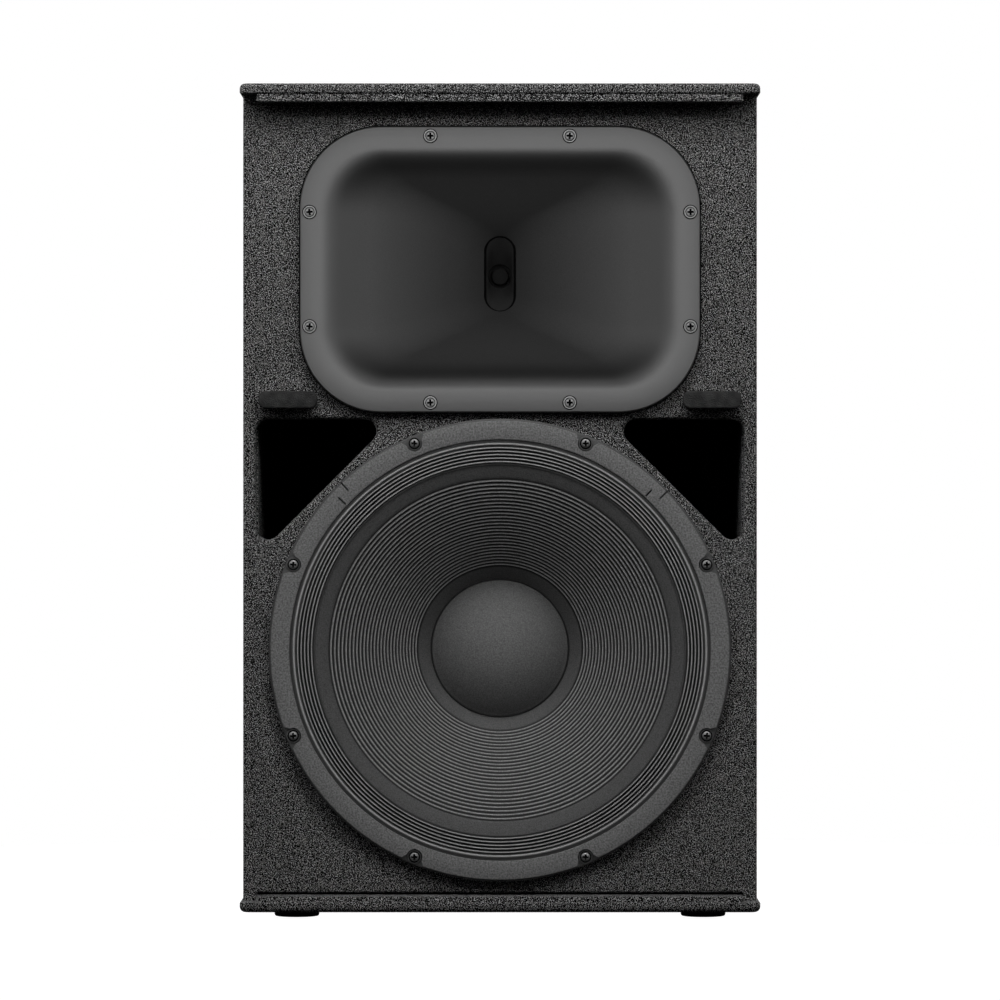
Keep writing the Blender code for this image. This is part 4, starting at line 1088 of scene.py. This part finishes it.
def paint_hidden_nodes():
    """The CAD nodes inside the cabinet stay as they are, each with its own material."""
    looks = ((BLACK_STAIN_AND_SHADE, ("shelf_brace", "port_board_left", "port_board_right")),
             (BLACK_STEEL, ("hf_top_plate", "hf_rear_cover", "woofer_top_plate", "woofer_back_plate")),
             (FERRITE, ("hf_magnet", "woofer_magnet")), (TITANIUM, ("hf_diaphragm",)),
             (COIL, ("woofer_voice_coil",)), (BOARD, ("crossover_board",)))
    for look, nodes in looks:
        for node in nodes:
            materials = frame["nodes"][node].data.materials
            materials.clear()
            materials.append(look)


# ---- studio
def area_light(name, place, aim, size, power):
    light = bpy.data.lights.new(name, "AREA")
    light.shape = "RECTANGLE"
    light.size, light.size_y = size
    light.energy = power
    made = in_scene(name, light)
    made.location = place
    made.rotation_euler = (Vector(aim) - Vector(place)).to_track_quat("-Z", "Y").to_euler()
    return made


def lit_group(name, words, inside=True):
    """The meshes that a lamp is kept to: those whose names start, or don't start, with the words."""
    group = bpy.data.collections.new(name)
    for made in bpy.context.scene.objects:
        if made.type == "MESH" and made.name.startswith(words) == inside:
            group.objects.link(made)
    return group


def make_studio():
    """A white floor and backdrop, lamps in front for each group of pieces, and one behind each side."""
    look, _, shader, _ = nodes_of("pale_floor", 0.9, 0.0, 0.0)
    glow = (("Base Color", (0.2, 0.2, 0.2, 1)), ("Emission Color", (1, 1, 1, 1)), ("Emission Strength", 1.0))
    for key, value in glow:
        shader.inputs[key].default_value = value
    floor = add("floor", rod_mesh("floor", 0.9, -0.02, 0, (0, 0, 0), 96, "Z"), look)
    floor.visible_diffuse = floor.visible_glossy = False
    aim = (0, -0.2, 0.45)
    horn = lit_group("horn_set", ("horn", "throat"))
    paint = lit_group("paint_set", ("horn", "throat"), False)
    woofer = lit_group("woofer_set", ("paper", "dust", "cloth", "gasket", "cast", "woofer"))
    # name, what it lights, distance, angle to each side, angle up, size and power
    lamps = [("horn_front", horn, 3.2, 0, 7, (2.2, 1.0), 38),
             ("horn_high", horn, 3.2, 0, 40, (1.6, 0.8), 7),
             ("horn_near", horn, 3.2, 40, 8, (1.0, 1.0), 9),
             ("horn_wing", horn, 3.2, 75, 10, (1.0, 1.0), 14),
             ("woofer_front", woofer, 3.2, 0, 10, (2.4, 0.8), 19),
             ("high", paint, 1.65, 0, 60, (0.8, 0.5), 11.8),
             ("key", paint, 1.65, 32, 38, (0.6, 0.6), 6.9),
             ("wing", paint, 2.4, 57, 20, (0.8, 0.8), 4.5)]
    for name, group, reach, turn, lift, size, power in lamps:
        turn, lift = radians(turn), radians(lift)
        for side in (-1, 1) if turn else (1,):
            along = Vector((side * sin(turn), -cos(turn), 0)) * cos(lift)
            place = Vector(aim) + (along + Vector((0, 0, sin(lift)))) * reach
            area_light(name, place, aim, size, power).light_linking.receiver_collection = group
    for side in (-1, 1):
        area_light("side", (side * 1.7, 2.6, 1.3), (0, 0.1, 0.35), (1.4, 1.6), 26)
    scene = bpy.context.scene
    world = bpy.data.worlds.new("studio")
    scene.world = world
    world.use_nodes = True
    tree = world.node_tree
    backdrop = tree.nodes["Background"]
    backdrop.inputs["Color"].default_value = (1, 1, 1, 1)
    seen_by_camera = add_node(tree, "LightPath", {}).outputs["Is Camera Ray"]
    # the backdrop is white to the camera, and dim to the pieces
    level = add_node(tree, "MapRange", {"Value": seen_by_camera, "To Min": 0.012, "To Max": 1.0})
    tree.links.new(level.outputs["Result"], backdrop.inputs["Strength"])
    scene.view_settings.view_transform = "Standard"
    scene.view_settings.look = "None"


def make_camera():
    """Straight in front, a little under the cabinet's middle, from 4.5 m."""
    distance, span = 4.5, 0.834
    camera = bpy.data.cameras.new("camera")
    camera.sensor_width = 36.0
    camera.lens = camera.sensor_width * distance / span
    camera.clip_start, camera.clip_end = 0.1, 50.0
    made = in_scene("camera", camera)
    made.location = (0, LID_LOW.y - distance, 0.3512)
    made.rotation_euler = (pi / 2, 0, 0)
    bpy.context.scene.camera = made


for make in (make_lids, make_walls, make_baffle, make_back, make_horn, make_driver, make_frame_ring,
             make_gasket, make_cone, make_surround, make_spider, make_screws, make_pads, make_feet,
             make_handles, make_pole_socket, make_rear, paint_hidden_nodes, make_studio, make_camera):
    make()
